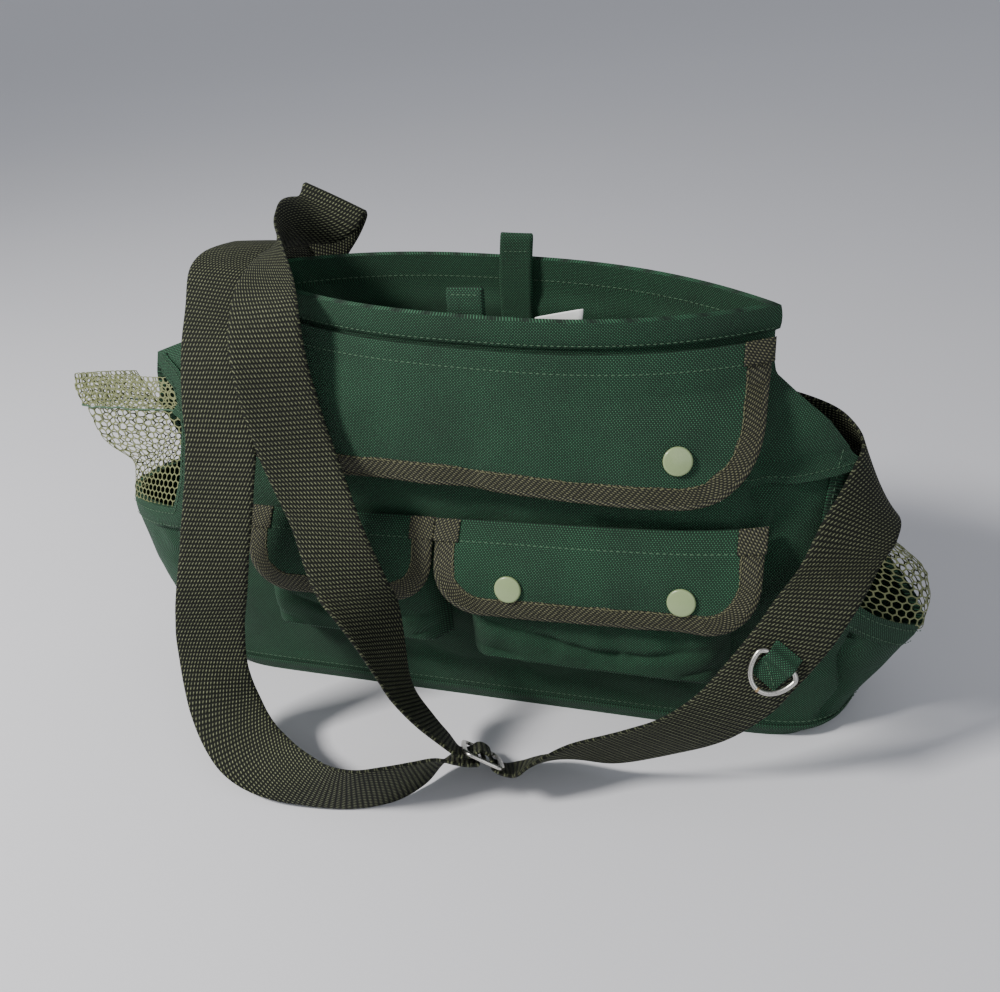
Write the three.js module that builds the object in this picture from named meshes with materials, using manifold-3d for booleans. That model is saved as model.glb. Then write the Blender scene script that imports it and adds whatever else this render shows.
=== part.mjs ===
// Cloth fishing creel bag with a mouth, three bound flaps, two bellows pockets,
// net windows in the gussets and a woven shoulder strap with its hardware.
// Millimetres, +X right, +Y away from the front, +Z up, origin under the base on the floor.
import * as THREE from 'three';
import { mergeVertices } from 'three/addons/utils/BufferGeometryUtils.js';
import Module from 'manifold-3d';

const wasm = await Module();
wasm.setup();

const HEIGHT = 251;
const HALF_WIDTH = 205;
const HALF_DEPTH = 50;
const WALL = 2.4;
const HEM_HEIGHT = 15;
const HEM_PROUD = 1.0;
const RIM_TILT = -0.047;

const FLAP_CLOTH = 2;
const BAND = 10.5;
const BAND_CLOTH = 2.8;
const GAP = 0.7;

const SNAP_RADIUS = 7.5;
const SNAP_HEIGHT = 2.6;

const STRAP_WIDTH = 40;
const STRAP_CLOTH = 1.8;
const SLIDER_LENGTH = 48;
const SLIDER_SPAN = 25;
const SLIDER_BAR = 3;
const SLIDER_PLATE = 2.2;

const RING_HALF = 11.5;
const RING_REACH = 18;
const RING_WIRE = 1.4;
const RING_TAB = 16;

const LOOP_HALF = 24;
const LOOP_REACH = 9;
const LOOP_WIRE = 1.8;
const LOOP_TAB = 20;

const RIM_TAB = 18.5;
const RIM_TAB_CLOTH = 1.4;
const LABEL_WIDTH = 25;
const LABEL_CLOTH = 0.8;

const NET_CLOTH = 1.2;
const NET_HOLE = 0.37;

const COLOURS = {
  cloth: 0x1f4a33,
  webbing: 0x3c3f31,
  binding: 0x464331,
  snap: 0xa4b28c,
  net: 0xa3a67f,
  metal: 0xc6c4bd,
  label: 0xe6e6e2,
};

// One row for each level of the body, as shares: level of HEIGHT, left and right reach of
// HALF_WIDTH, front and back of HALF_DEPTH, fold (where the side folds) of HALF_DEPTH.
// Full is the power of the plan outline: 2 is a lens, 12 nearly a box.
const BODY = [
  { level: 0.000, left: 0.98, right: 0.98, front: 1.00, back: 1.00, fold: 0.0, full: 20 },
  { level: 0.030, left: 1.07, right: 1.04, front: 1.04, back: 1.02, fold: -0.1, full: 16 },
  { level: 0.130, left: 1.18, right: 1.11, front: 1.08, back: 1.04, fold: -0.2, full: 12 },
  { level: 0.250, left: 1.25, right: 1.19, front: 1.13, back: 1.05, fold: -0.2, full: 8.5 },
  { level: 0.350, left: 1.27, right: 1.18, front: 1.17, back: 1.06, fold: -0.2, full: 8 },
  { level: 0.430, left: 1.26, right: 1.12, front: 1.19, back: 1.06, fold: -0.2, full: 7 },
  { level: 0.500, left: 1.20, right: 1.06, front: 1.20, back: 1.06, fold: -0.2, full: 6 },
  { level: 0.600, left: 1.13, right: 1.00, front: 1.19, back: 1.05, fold: -0.2, full: 5 },
  { level: 0.700, left: 1.07, right: 0.94, front: 1.15, back: 1.04, fold: -0.2, full: 4 },
  { level: 0.755, left: 1.04, right: 0.89, front: 1.12, back: 1.03, fold: -0.2, full: 3.6 },
  { level: 0.805, left: 1.00, right: 0.82, front: 1.08, back: 1.02, fold: -0.2, full: 3.2 },
  { level: 0.850, left: 0.86, right: 0.75, front: 1.04, back: 1.00, fold: -0.1, full: 2.9 },
  { level: 0.895, left: 0.76, right: 0.74, front: 1.01, back: 1.00, fold: -0.1, full: 2.7 },
  { level: 0.938, left: 0.74, right: 0.74, front: 1.00, back: 1.00, fold: 0.0, full: 2.6 },
  { level: 1.000, left: 0.74, right: 0.74, front: 1.00, back: 1.00, fold: 0.0, full: 2.5 },
];

// Outlines of the net windows seen from the front: across is a share of HALF_WIDTH, up of HEIGHT.
const WINDOW_RIGHT = [
  { across: 1.46, up: 0.09 }, { across: 1.195, up: 0.247 }, { across: 0.985, up: 0.378 },
  { across: 0.905, up: 0.48 }, { across: 0.875, up: 0.58 }, { across: 0.895, up: 0.655 },
  { across: 0.935, up: 0.695 }, { across: 1.46, up: 0.76 },
];
const WINDOW_LEFT = [
  { across: -1.56, up: 0.38 }, { across: -1.265, up: 0.426 }, { across: -0.98, up: 0.47 },
  { across: -0.94, up: 0.55 }, { across: -0.925, up: 0.66 }, { across: -0.955, up: 0.75 },
  { across: -1.005, up: 0.80 }, { across: -1.56, up: 0.85 },
];

// Rows of each net from its lower hem up: edge is where it is sewn to the front and back
// panels, tip is its outermost fold, both across and up as above.
const NET_RIGHT = [
  { edge: 0.990, edgeUp: 0.3825, tip: 1.192, tipUp: 0.255 },
  { edge: 0.942, edgeUp: 0.440, tip: 1.190, tipUp: 0.350 },
  { edge: 0.906, edgeUp: 0.500, tip: 1.140, tipUp: 0.415 },
  { edge: 0.888, edgeUp: 0.560, tip: 1.040, tipUp: 0.480 },
  { edge: 0.890, edgeUp: 0.620, tip: 0.980, tipUp: 0.590 },
  { edge: 0.920, edgeUp: 0.674, tip: 0.945, tipUp: 0.683 },
];
const NET_LEFT = [
  { edge: -0.986, edgeUp: 0.474, tip: -1.262, tipUp: 0.432 },
  { edge: -0.954, edgeUp: 0.540, tip: -1.220, tipUp: 0.500 },
  { edge: -0.942, edgeUp: 0.590, tip: -1.190, tipUp: 0.550 },
  { edge: -0.936, edgeUp: 0.640, tip: -1.280, tipUp: 0.600 },
  { edge: -0.947, edgeUp: 0.700, tip: -1.300, tipUp: 0.680 },
  { edge: -0.990, edgeUp: 0.777, tip: -1.315, tipUp: 0.770 },
];

// Flaps: middle and half of the width, top level at the middle, rise of the top per mm to
// the right, drop to the bottom edge, corner radius, and how far the bottom stands proud.
const MAIN_FLAP = {
  middle: 0, half: 151, top: 235, rise: RIM_TILT, drop: 72, corner: 40, near: 3, lift: 9,
};
const SMALL_FLAP = {
  middle: -79, half: 57, top: 136, rise: 0.03, drop: 45, corner: 26, near: 1.6, lift: 20,
};
const LARGE_FLAP = {
  middle: 67.5, half: 88, top: 140, rise: 0.03, drop: 49, corner: 28, near: 1.6, lift: 22,
};

// Pockets: middle and half of the width, top and bottom level, and depth.
const SMALL_POCKET = { middle: -76, half: 55, top: 128, bottom: 57, depth: 16 };
const LARGE_POCKET = { middle: 67, half: 73, top: 131, bottom: 50, depth: 17 };

const SNAPS = [
  { name: 'main_snap_right', flap: MAIN_FLAP, out: 0.728, up: 183 },
  { name: 'main_snap_left', flap: MAIN_FLAP, out: -0.689, up: 189 },
  { name: 'small_pocket_snap', flap: SMALL_FLAP, out: 0, up: 109 },
  { name: 'large_pocket_snap_left', flap: LARGE_FLAP, out: -0.506, up: 108 },
  { name: 'large_pocket_snap_right', flap: LARGE_FLAP, out: 0.551, up: 111 },
];

// Strap legs in mm: the middle of the webbing and the direction of its width.
const RIGHT_LEG = [
  { x: 156, y: 31.5, z: 170, wx: 0.0, wy: 0.4, wz: -0.9 },
  { x: 175, y: 25, z: 167, wx: 0.0, wy: 0.4, wz: -0.9 },
  { x: 193, y: 16, z: 161, wx: 0.1, wy: 0.3, wz: -0.95 },
  { x: 208, y: 0, z: 151, wx: 0.35, wy: 0.1, wz: -0.93 },
  { x: 208, y: -21, z: 146, wx: 0.7, wy: 0.2, wz: -0.65 },
  { x: 202, y: -40, z: 140, wx: 0.85, wy: 0.2, wz: -0.4 },
  { x: 193, y: -57, z: 128, wx: 0.95, wy: 0.3, wz: -0.1 },
  { x: 184, y: -73, z: 118, wx: 1.0, wy: 0.1, wz: 0.0 },
  { x: 172, y: -86, z: 100, wx: 1.0, wy: 0.1, wz: -0.1 },
  { x: 156, y: -96, z: 78, wx: 1.0, wy: 0.1, wz: -0.1 },
  { x: 144, y: -100, z: 62, wx: 0.9, wy: 0.2, wz: -0.3 },
  { x: 126, y: -104, z: 47, wx: 0.8, wy: 0.3, wz: -0.5 },
  { x: 103, y: -108, z: 37, wx: 0.7, wy: 0.4, wz: -0.6 },
  { x: 74, y: -112, z: 27, wx: 0.5, wy: 0.5, wz: -0.7 },
  { x: 47, y: -116, z: 21, wx: 0.1, wy: 0.8, wz: -0.6 },
  { x: 34, y: -119, z: 15, wx: -0.2, wy: 0.8, wz: -0.6 },
  { x: 27, y: -121, z: 14, wx: -0.3, wy: 0.75, wz: -0.6 },
  { x: 20.3, y: -121.4, z: 16.2, wx: -0.3, wy: 0.75, wz: -0.6 },
  { x: 18, y: -120.8, z: 18, wx: -0.3, wy: 0.75, wz: -0.6 },
];
const FRONT_LEG = [
  { x: 17.6, y: -119.6, z: 20.2, wx: -0.3, wy: 0.75, wz: -0.6 },
  { x: 16.4, y: -118.2, z: 22.6, wx: -0.3, wy: 0.75, wz: -0.6 },
  { x: 13.9, y: -117.8, z: 24.4, wx: -0.3, wy: 0.75, wz: -0.6 },
  { x: 10.6, y: -118.5, z: 25.3, wx: -0.3, wy: 0.75, wz: -0.6 },
  { x: 6.8, y: -121.2, z: 23.9, wx: -0.3, wy: 0.75, wz: -0.6 },
  { x: 0.5, y: -123.2, z: 24.8, wx: -0.3, wy: 0.75, wz: -0.6 },
  { x: -9, y: -120, z: 30, wx: -0.2, wy: 0.8, wz: -0.6 },
  { x: -20, y: -117, z: 38, wx: -0.1, wy: 0.8, wz: -0.6 },
  { x: -32, y: -114, z: 51, wx: 0.0, wy: 0.8, wz: -0.6 },
  { x: -38, y: -112, z: 64, wx: 0.1, wy: 0.8, wz: -0.6 },
  { x: -43, y: -110, z: 82, wx: 0.3, wy: 0.8, wz: -0.5 },
  { x: -50, y: -107, z: 101, wx: 0.6, wy: 0.7, wz: -0.3 },
  { x: -60, y: -103, z: 119, wx: 0.9, wy: 0.3, wz: 0.0 },
  { x: -70, y: -97, z: 147, wx: 1.0, wy: 0.1, wz: 0.0 },
  { x: -79, y: -91, z: 168, wx: 1.0, wy: 0.2, wz: 0.0 },
  { x: -88, y: -84, z: 188, wx: 1.0, wy: 0.3, wz: 0.0 },
  { x: -96, y: -77, z: 210, wx: 1.0, wy: 0.3, wz: 0.0 },
  { x: -103, y: -68, z: 236, wx: 1.0, wy: 0.2, wz: 0.0 },
  { x: -107, y: -56, z: 254, wx: 1.0, wy: 0.0, wz: 0.1 },
  { x: -113, y: -37, z: 264, wx: 0.93, wy: -0.3, wz: 0.1 },
  { x: -121, y: -10, z: 272, wx: 0.65, wy: -0.65, wz: 0.3 },
  { x: -123, y: 14, z: 275, wx: 0.1, wy: -0.8, wz: 0.6 },
  { x: -117, y: 36, z: 276, wx: -0.6, wy: -0.3, wz: 0.65 },
  { x: -111, y: 45, z: 279, wx: -0.9, wy: 0.0, wz: 0.42 },
  { x: -109, y: 51, z: 285, wx: -0.9, wy: 0.0, wz: 0.42 },
  { x: -112, y: 60, z: 280, wx: -0.9, wy: 0.0, wz: 0.42 },
  { x: -122, y: 67, z: 266, wx: -0.92, wy: 0.0, wz: 0.38 },
  { x: -137, y: 72, z: 246, wx: -0.97, wy: 0.0, wz: 0.2 },
  { x: -146, y: 70, z: 226, wx: -1.0, wy: 0.0, wz: 0.0 },
  { x: -147, y: 68.5, z: 218, wx: -1.0, wy: 0.0, wz: 0.0 },
  { x: -147, y: 65.5, z: 215.5, wx: -1.0, wy: 0.0, wz: 0.0 },
];
const LEFT_LEG = [
  { x: -147, y: 62.5, z: 215.5, wx: 1.0, wy: 0.0, wz: 0.0 },
  { x: -147, y: 59.5, z: 218, wx: 1.0, wy: 0.0, wz: 0.0 },
  { x: -147, y: 57, z: 228, wx: 1.0, wy: 0.0, wz: 0.0 },
  { x: -147, y: 51, z: 248, wx: 1.0, wy: 0.0, wz: 0.0 },
  { x: -148, y: 39, z: 261, wx: 1.0, wy: 0.0, wz: 0.0 },
  { x: -151, y: 21, z: 265, wx: 1.0, wy: 0.0, wz: 0.0 },
  { x: -154, y: 1, z: 263.5, wx: 1.0, wy: 0.0, wz: -0.1 },
  { x: -151, y: -20, z: 260, wx: 1.0, wy: 0.0, wz: -0.1 },
  { x: -145, y: -40, z: 246, wx: 1.0, wy: 0.0, wz: -0.1 },
  { x: -138, y: -61, z: 231, wx: 1.0, wy: 0.1, wz: 0.0 },
  { x: -134, y: -76, z: 210, wx: 1.0, wy: 0.1, wz: 0.0 },
  { x: -131, y: -87, z: 187, wx: 1.0, wy: 0.1, wz: 0.0 },
  { x: -134, y: -98, z: 156, wx: 1.0, wy: 0.1, wz: 0.0 },
  { x: -141, y: -110, z: 112, wx: 1.0, wy: 0.2, wz: 0.0 },
  { x: -147, y: -114, z: 83, wx: 1.0, wy: 0.2, wz: 0.0 },
  { x: -148, y: -118, z: 58, wx: 1.0, wy: 0.2, wz: 0.0 },
  { x: -142, y: -125, z: 38, wx: 0.9, wy: 0.4, wz: 0.0 },
  { x: -130, y: -136, z: 27, wx: 0.8, wy: 0.5, wz: 0.2 },
  { x: -116, y: -145, z: 21, wx: 0.7, wy: 0.5, wz: 0.4 },
  { x: -97, y: -153, z: 19, wx: 0.6, wy: 0.3, wz: 0.7 },
  { x: -73, y: -159, z: 20, wx: 0.5, wy: 0.0, wz: 0.8 },
  { x: -50, y: -158, z: 20, wx: 0.2, wy: -0.2, wz: 0.9 },
  { x: -31, y: -150, z: 20, wx: 0.1, wy: -0.3, wz: 0.9 },
  { x: -18, y: -139, z: 20, wx: 0.1, wy: -0.5, wz: 0.9 },
  { x: -9, y: -130, z: 22, wx: 0.2, wy: -0.65, wz: 0.75 },
  { x: -0.5, y: -126, z: 22.0, wx: 0.3, wy: -0.75, wz: 0.6 },
  { x: 5.8, y: -124.4, z: 20.4, wx: 0.3, wy: -0.75, wz: 0.6 },
  { x: 11, y: -122.6, z: 19.9, wx: 0.3, wy: -0.75, wz: 0.6 },
];

// Hardware: where it sits, the direction of its bar and of its reach.
const SLIDER = { at: [13, -120, 22], bar: [-0.318, 0.751, -0.579], reach: [0.9, 0.05, -0.43] };
const D_RING = { at: [167.2, -95.3, 91.9], bar: [0.81, -0.2, -0.55], reach: [-0.57, -0.42, -0.71] };
const LOOP = { at: [-147, 64, 220.3], bar: [1, 0, 0], reach: [0, 0.1, -1] };

// Folded tabs and the label, from one end up and over to the other.
const FRONT_TAB = [
  { x: 1, y: -45.9, z: 238, wx: 1, wy: 0, wz: 0 },
  { x: 1, y: -46.1, z: 250, wx: 1, wy: 0, wz: 0 },
  { x: 1, y: -45.9, z: 261, wx: 1, wy: 0, wz: 0 },
  { x: 1, y: -44.6, z: 264, wx: 1, wy: 0, wz: 0 },
  { x: 1, y: -43.0, z: 261, wx: 1, wy: 0, wz: 0 },
  { x: 1, y: -43.2, z: 250, wx: 1, wy: 0, wz: 0 },
  { x: 1, y: -43.6, z: 238, wx: 1, wy: 0, wz: 0 },
];
const BACK_TAB = [
  { x: 2, y: 45.2, z: 214, wx: -1, wy: 0, wz: 0 },
  { x: 2.5, y: 45.5, z: 240, wx: -1, wy: 0, wz: 0 },
  { x: 3.5, y: 46.4, z: 256, wx: -1, wy: 0, wz: 0 },
  { x: 4, y: 47.0, z: 263, wx: -1, wy: 0, wz: 0 },
  { x: 4, y: 46.2, z: 265.5, wx: -1, wy: 0, wz: 0 },
  { x: 4, y: 44.6, z: 263, wx: -1, wy: 0, wz: 0 },
  { x: 3.5, y: 43.8, z: 256, wx: -1, wy: 0, wz: 0 },
  { x: 2.5, y: 42.8, z: 240, wx: -1, wy: 0, wz: 0 },
  { x: 2, y: 42.6, z: 214, wx: -1, wy: 0, wz: 0 },
];
const LABEL = [
  { x: 46, y: -42.8, z: 226, wx: 1, wy: 0.04, wz: 0.2 },
  { x: 47, y: -42.0, z: 240, wx: 1, wy: 0.04, wz: 0.2 },
  { x: 48, y: -41.0, z: 251, wx: 1, wy: 0.04, wz: 0.2 },
];
const LOOP_STRIP = [
  { x: -147, y: 42.5, z: 182, wx: 1, wy: 0, wz: 0 },
  { x: -147, y: 44.5, z: 190, wx: 1, wy: 0, wz: 0 },
  { x: -147, y: 52, z: 198, wx: 1, wy: 0, wz: 0 },
  { x: -147, y: 64, z: 199.8, wx: 1, wy: 0, wz: 0 },
];

const lerp = (a, b, t) => a + (b - a) * t;
const clamp = (value, low, high) => Math.min(high, Math.max(low, value));
const vec = (x, y, z) => new THREE.Vector3(x, y, z);

// A column of a table read between its rows; t is a row number with a fraction.
function between(rows, column, t) {
  const i = clamp(Math.floor(t), 0, rows.length - 2);
  return lerp(rows[i][column], rows[i + 1][column], t - i);
}

// The same, through a smooth curve.
function smoothly(rows, column, t) {
  const i = clamp(Math.floor(t), 0, rows.length - 2);
  const s = t - i;
  const b = rows[i][column];
  const c = rows[i + 1][column];
  const a = i > 0 ? rows[i - 1][column] : 2 * b - c;
  const d = i + 2 < rows.length ? rows[i + 2][column] : 2 * c - b;
  const bend = (2 * a - 5 * b + 4 * c - d) * s + (3 * (b - c) + d - a) * s * s;
  return b + 0.5 * s * (c - a + bend);
}

function bodyRow(level) {
  let i = 0;
  while (i < BODY.length - 2 && BODY[i + 1].level < level) i += 1;
  const t = i + clamp((level - BODY[i].level) / (BODY[i + 1].level - BODY[i].level), 0, 1);
  const row = {};
  for (const key of Object.keys(BODY[0])) row[key] = between(BODY, key, t);
  return row;
}

const rimShift = (x, level) => RIM_TILT * x * level ** 3;

// A point of the body's outline at one level: q runs from the left fold (-1) to the right (1),
// side is -1 for the front and 1 for the back, inset moves it into the bag.
function bodyPoint(row, q, side, inset) {
  const reach = (q < 0 ? row.left : row.right) * HALF_WIDTH - 2 * inset;
  const fold = row.fold * HALF_DEPTH;
  const deep = (side < 0 ? -row.front : row.back) * HALF_DEPTH - side * inset;
  const x = q * reach;
  const y = fold + (deep - fold) * (1 - Math.abs(q) ** row.full);
  return vec(x, y, row.level * HEIGHT + rimShift(x, row.level));
}

// The y of the front (side -1) or back (side 1) outer surface at x, z.
function wallY(x, z, side) {
  const guess = z / HEIGHT;
  const row = bodyRow(clamp((z - rimShift(x, guess)) / HEIGHT, 0, 1));
  const reach = (x < 0 ? row.left : row.right) * HALF_WIDTH;
  return bodyPoint(row, clamp(x / reach, -1, 1), side, 0).y;
}

function solid(name, points, faces, colour, roughness = 0.85, metalness = 0) {
  const geometry = new THREE.BufferGeometry();
  geometry.setAttribute('position', new THREE.Float32BufferAttribute(points.flat(), 3));
  geometry.setIndex(faces.flat());
  geometry.computeVertexNormals();
  const material = new THREE.MeshStandardMaterial({ color: colour, roughness, metalness });
  const mesh = new THREE.Mesh(geometry, material);
  mesh.name = name;
  return mesh;
}

// A closed slab about the surface at(u, v), in cols by rows cells. Its outer face looks along
// the cross product of the u and v directions. With holes, each cell is pierced by a diamond.
function sheet(cols, rows, at, thick, holes = 0) {
  const points = [];
  const faces = [];
  const e = 1e-3;
  const pair = (u, v) => {
    const p = at(u, v);
    const du = at(Math.min(u + e, 1), v).sub(at(Math.max(u - e, 0), v));
    const dv = at(u, Math.min(v + e, 1)).sub(at(u, Math.max(v - e, 0)));
    const n = du.cross(dv).normalize().multiplyScalar(thick / 2);
    points.push([p.x + n.x, p.y + n.y, p.z + n.z], [p.x - n.x, p.y - n.y, p.z - n.z]);
    return points.length - 2;
  };
  const grid = [];
  for (let j = 0; j <= rows; j += 1) {
    grid.push(Array.from({ length: cols + 1 }, (_, i) => pair(i / cols, j / rows)));
  }
  const both = (a, b, c) => faces.push([a, b, c], [a + 1, c + 1, b + 1]);
  const wall = (a, b) => faces.push([a, a + 1, b + 1], [a, b + 1, b]);
  for (let j = 0; j < rows; j += 1) {
    for (let i = 0; i < cols; i += 1) {
      const c = [grid[j][i], grid[j][i + 1], grid[j + 1][i + 1], grid[j + 1][i]];
      if (holes) {
        const u = (i + 0.5) / cols;
        const v = (j + 0.5) / rows;
        const h = [
          pair(u, v - holes / rows), pair(u + holes / cols, v),
          pair(u, v + holes / rows), pair(u - holes / cols, v),
        ];
        for (let k = 0; k < 4; k += 1) {
          const next = (k + 1) % 4;
          both(c[k], c[next], h[k]);
          both(c[next], h[next], h[k]);
          wall(h[next], h[k]);
        }
      } else {
        both(c[0], c[1], c[2]);
        both(c[0], c[2], c[3]);
      }
    }
  }
  for (let i = 0; i < cols; i += 1) {
    wall(grid[0][i], grid[0][i + 1]);
    wall(grid[rows][i + 1], grid[rows][i]);
  }
  for (let j = 0; j < rows; j += 1) {
    wall(grid[j + 1][0], grid[j][0]);
    wall(grid[j][cols], grid[j + 1][cols]);
  }
  return { points, faces };
}

function bodyShell() {
  const points = [];
  const faces = [];
  const half = 20;
  const rings = [];
  const ring = (row, inset, lift) => {
    const start = points.length;
    for (let k = 0; k < 2 * half; k += 1) {
      const side = k < half ? -1 : 1;
      const q = -Math.cos((Math.PI * (k % half)) / half) * (side < 0 ? 1 : -1);
      const even = Math.sign(q) * Math.abs(q) ** 0.8;
      const p = bodyPoint(row, even, side, inset);
      points.push([p.x, p.y, p.z + lift]);
    }
    rings.push(start);
  };
  const outer = [...BODY];
  outer.splice(BODY.length - 1, 0, { ...bodyRow(1 - HEM_HEIGHT / HEIGHT), proud: HEM_PROUD });
  outer.forEach((row, i) => ring(row, i >= outer.length - 2 ? -HEM_PROUD : 0, 0));
  for (let i = BODY.length - 1; i > 0; i -= 1) ring(BODY[i], WALL, 0);
  ring({ ...BODY[0], level: 0 }, WALL, WALL);
  const n = 2 * half;
  for (let r = 0; r + 1 < rings.length; r += 1) {
    for (let k = 0; k < n; k += 1) {
      const a = rings[r] + k;
      const b = rings[r] + ((k + 1) % n);
      const c = rings[r + 1] + ((k + 1) % n);
      const d = rings[r + 1] + k;
      faces.push([a, b, c], [a, c, d]);
    }
  }
  const cap = (start, down) => {
    const mid = points.length;
    const z = points[start][2];
    points.push([0, 0, z]);
    for (let k = 0; k < n; k += 1) {
      const a = start + k;
      const b = start + ((k + 1) % n);
      faces.push(down ? [mid, b, a] : [mid, a, b]);
    }
  };
  cap(rings[0], true);
  cap(rings[rings.length - 1], false);
  let body = manifold(points, faces);
  for (const window of [WINDOW_RIGHT, WINDOW_LEFT]) {
    body = body.subtract(prism(window, 4 * HALF_DEPTH));
  }
  return shapeOf(body);
}

function manifold(points, faces) {
  return new wasm.Manifold(new wasm.Mesh({
    numProp: 3,
    vertProperties: new Float32Array(points.flat()),
    triVerts: new Uint32Array(faces.flat()),
  }));
}

function fromGeometry(geometry) {
  geometry.deleteAttribute('normal');
  geometry.deleteAttribute('uv');
  const merged = mergeVertices(geometry);
  const index = merged.index ? merged.index.array : [];
  return manifold([...merged.attributes.position.array], [...index]);
}

function shapeOf(body) {
  const { vertProperties, triVerts, numProp } = body.getMesh();
  const points = [];
  const faces = [];
  for (let i = 0; i < vertProperties.length; i += numProp) {
    points.push([...vertProperties.slice(i, i + 3)]);
  }
  for (let i = 0; i < triVerts.length; i += 3) faces.push([...triVerts.slice(i, i + 3)]);
  return { points, faces };
}

function box(wide, long, thick, x) {
  return fromGeometry(new THREE.BoxGeometry(wide, long, thick).translate(x, 0, 0));
}

// A prism along Y from an outline of across and up shares.
function prism(outline, deep) {
  const shape = new THREE.Shape(
    outline.map((p) => new THREE.Vector2(p.across * HALF_WIDTH, p.up * HEIGHT)),
  );
  const geometry = new THREE.ExtrudeGeometry(shape, { depth: deep, bevelEnabled: false });
  geometry.translate(0, 0, -deep / 2);
  geometry.rotateX(Math.PI / 2);
  return fromGeometry(geometry);
}

// The gusset net: u runs from the front panel round the fold to the back panel.
function netAt(rows) {
  return (u, v) => {
    const t = v * (rows.length - 1);
    const edge = smoothly(rows, 'edge', t) * HALF_WIDTH;
    const tip = smoothly(rows, 'tip', t) * HALF_WIDTH;
    const edgeZ = smoothly(rows, 'edgeUp', t) * HEIGHT;
    const tipZ = smoothly(rows, 'tipUp', t) * HEIGHT;
    const out = Math.sin(Math.PI * u) ** 0.9;
    const front = wallY(edge, edgeZ, -1) + WALL;
    const back = wallY(edge, edgeZ, 1) - WALL;
    return vec(lerp(edge, tip, out), lerp(front, back, u), lerp(edgeZ, tipZ, out));
  };
}

// Half-width and level of a flap's outline at a share v down it, drawn in by inset.
function flapEdge(flap, v, inset) {
  const corner = flap.corner - inset;
  const drop = flap.drop - inset;
  const down = v * drop;
  const into = clamp((down - (drop - corner)) / corner, 0, 1);
  return { half: flap.half - inset - corner * (1 - Math.sqrt(1 - into * into)), down };
}

// A flap's middle surface at a distance across from its middle and down from its top.
function flapPoint(flap, across, down) {
  const x = flap.middle + across;
  const z = flap.top + flap.rise * across - down;
  const share = clamp(down / flap.drop, 0, 1);
  const lift = flap.near + flap.lift * Math.sin((Math.PI / 2) * share) ** 0.8;
  const slope = clamp((wallY(x + 2, z, -1) - wallY(x - 2, z, -1)) / 4, -1.4, 1.4);
  return vec(x, wallY(x, z, -1) - lift * Math.hypot(1, slope), z);
}

function flapCloth(flap, cols, rows) {
  const at = (u, v) => {
    const share = Math.sin((Math.PI / 2) * v);
    const { half, down } = flapEdge(flap, share, BAND);
    return flapPoint(flap, lerp(-half, half, u), down);
  };
  return sheet(cols, rows, (u, v) => at(u, 1 - v), FLAP_CLOTH);
}

// The folded tape down both sides and along the bottom, u across it, v along it.
function flapBand(flap, side, arc, bottom) {
  const steps = 2 * (side + arc) + bottom;
  const edge = (s, inset) => {
    const k = s * steps;
    const first = k < steps / 2;
    const m = Math.min(k, steps - k);
    const corner = flap.corner - inset;
    const drop = flap.drop - inset;
    const half = flap.half - inset;
    const sign = first ? -1 : 1;
    if (m <= side) return [sign * half, (m / side) * (drop - corner)];
    if (m <= side + arc) {
      const a = ((m - side) / arc) * (Math.PI / 2);
      return [sign * (half - corner * (1 - Math.cos(a))), drop - corner * (1 - Math.sin(a))];
    }
    return [lerp(-(half - corner), half - corner, (k - side - arc) / bottom), drop];
  };
  return sheet(2, steps, (u, v) => {
    const [across, down] = edge(v, u * (BAND - GAP));
    return flapPoint(flap, across, down);
  }, BAND_CLOTH);
}

// A bellows pocket: a cloth tray open to the panel behind it and at its top.
function pocketCloth(pocket) {
  return sheet(12, 9, (u, v) => {
    const q = 2 * u - 1;
    const wide = 1 - Math.abs(q) ** 7;
    const x = pocket.middle + pocket.half * Math.sign(q) * Math.abs(q) ** 0.7;
    const z = lerp(pocket.bottom, pocket.top, v ** 1.2);
    const puff = 0.55 + 0.45 * Math.cos(Math.PI * clamp(v - 0.3, 0, 0.7) / 0.7 / 1.15);
    const foot = 1 - (1 - clamp(v / 0.12, 0, 1)) ** 2;
    return vec(x, wallY(x, z, -1) - 1.6 - pocket.depth * wide * foot * puff, z);
  }, FLAP_CLOTH);
}

function ribbon(rows, steps, width = STRAP_WIDTH, thick = STRAP_CLOTH) {
  return sheet(2, steps, (u, v) => {
    const t = v * (rows.length - 1);
    const across = vec(smoothly(rows, 'wx', t), smoothly(rows, 'wy', t), smoothly(rows, 'wz', t));
    const mid = vec(smoothly(rows, 'x', t), smoothly(rows, 'y', t), smoothly(rows, 'z', t));
    return mid.addScaledVector(across.normalize(), (u - 0.5) * width);
  }, thick);
}

// A domed round cap on its flap, turned to face out of it.
function snapCap(snap) {
  const profile = [
    [0, 0], [SNAP_RADIUS, 0], [SNAP_RADIUS, 0.45 * SNAP_HEIGHT],
    [0.8 * SNAP_RADIUS, 0.9 * SNAP_HEIGHT], [0, SNAP_HEIGHT],
  ].map(([r, h]) => new THREE.Vector2(r, h));
  const geometry = new THREE.LatheGeometry(profile, 14);
  const { flap } = snap;
  const across = snap.out * flap.half;
  const down = flap.top + flap.rise * across - snap.up;
  const at = (a, d) => flapPoint(flap, across + a, down + d);
  const n = at(4, 0).sub(at(-4, 0)).cross(at(0, -4).sub(at(0, 4))).normalize();
  const turn = new THREE.Quaternion().setFromUnitVectors(vec(0, 1, 0), n);
  geometry.applyQuaternion(turn);
  const foot = at(0, 0).addScaledVector(n, FLAP_CLOTH / 2 + 0.4);
  geometry.translate(foot.x, foot.y, foot.z);
  return geometry;
}

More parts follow.
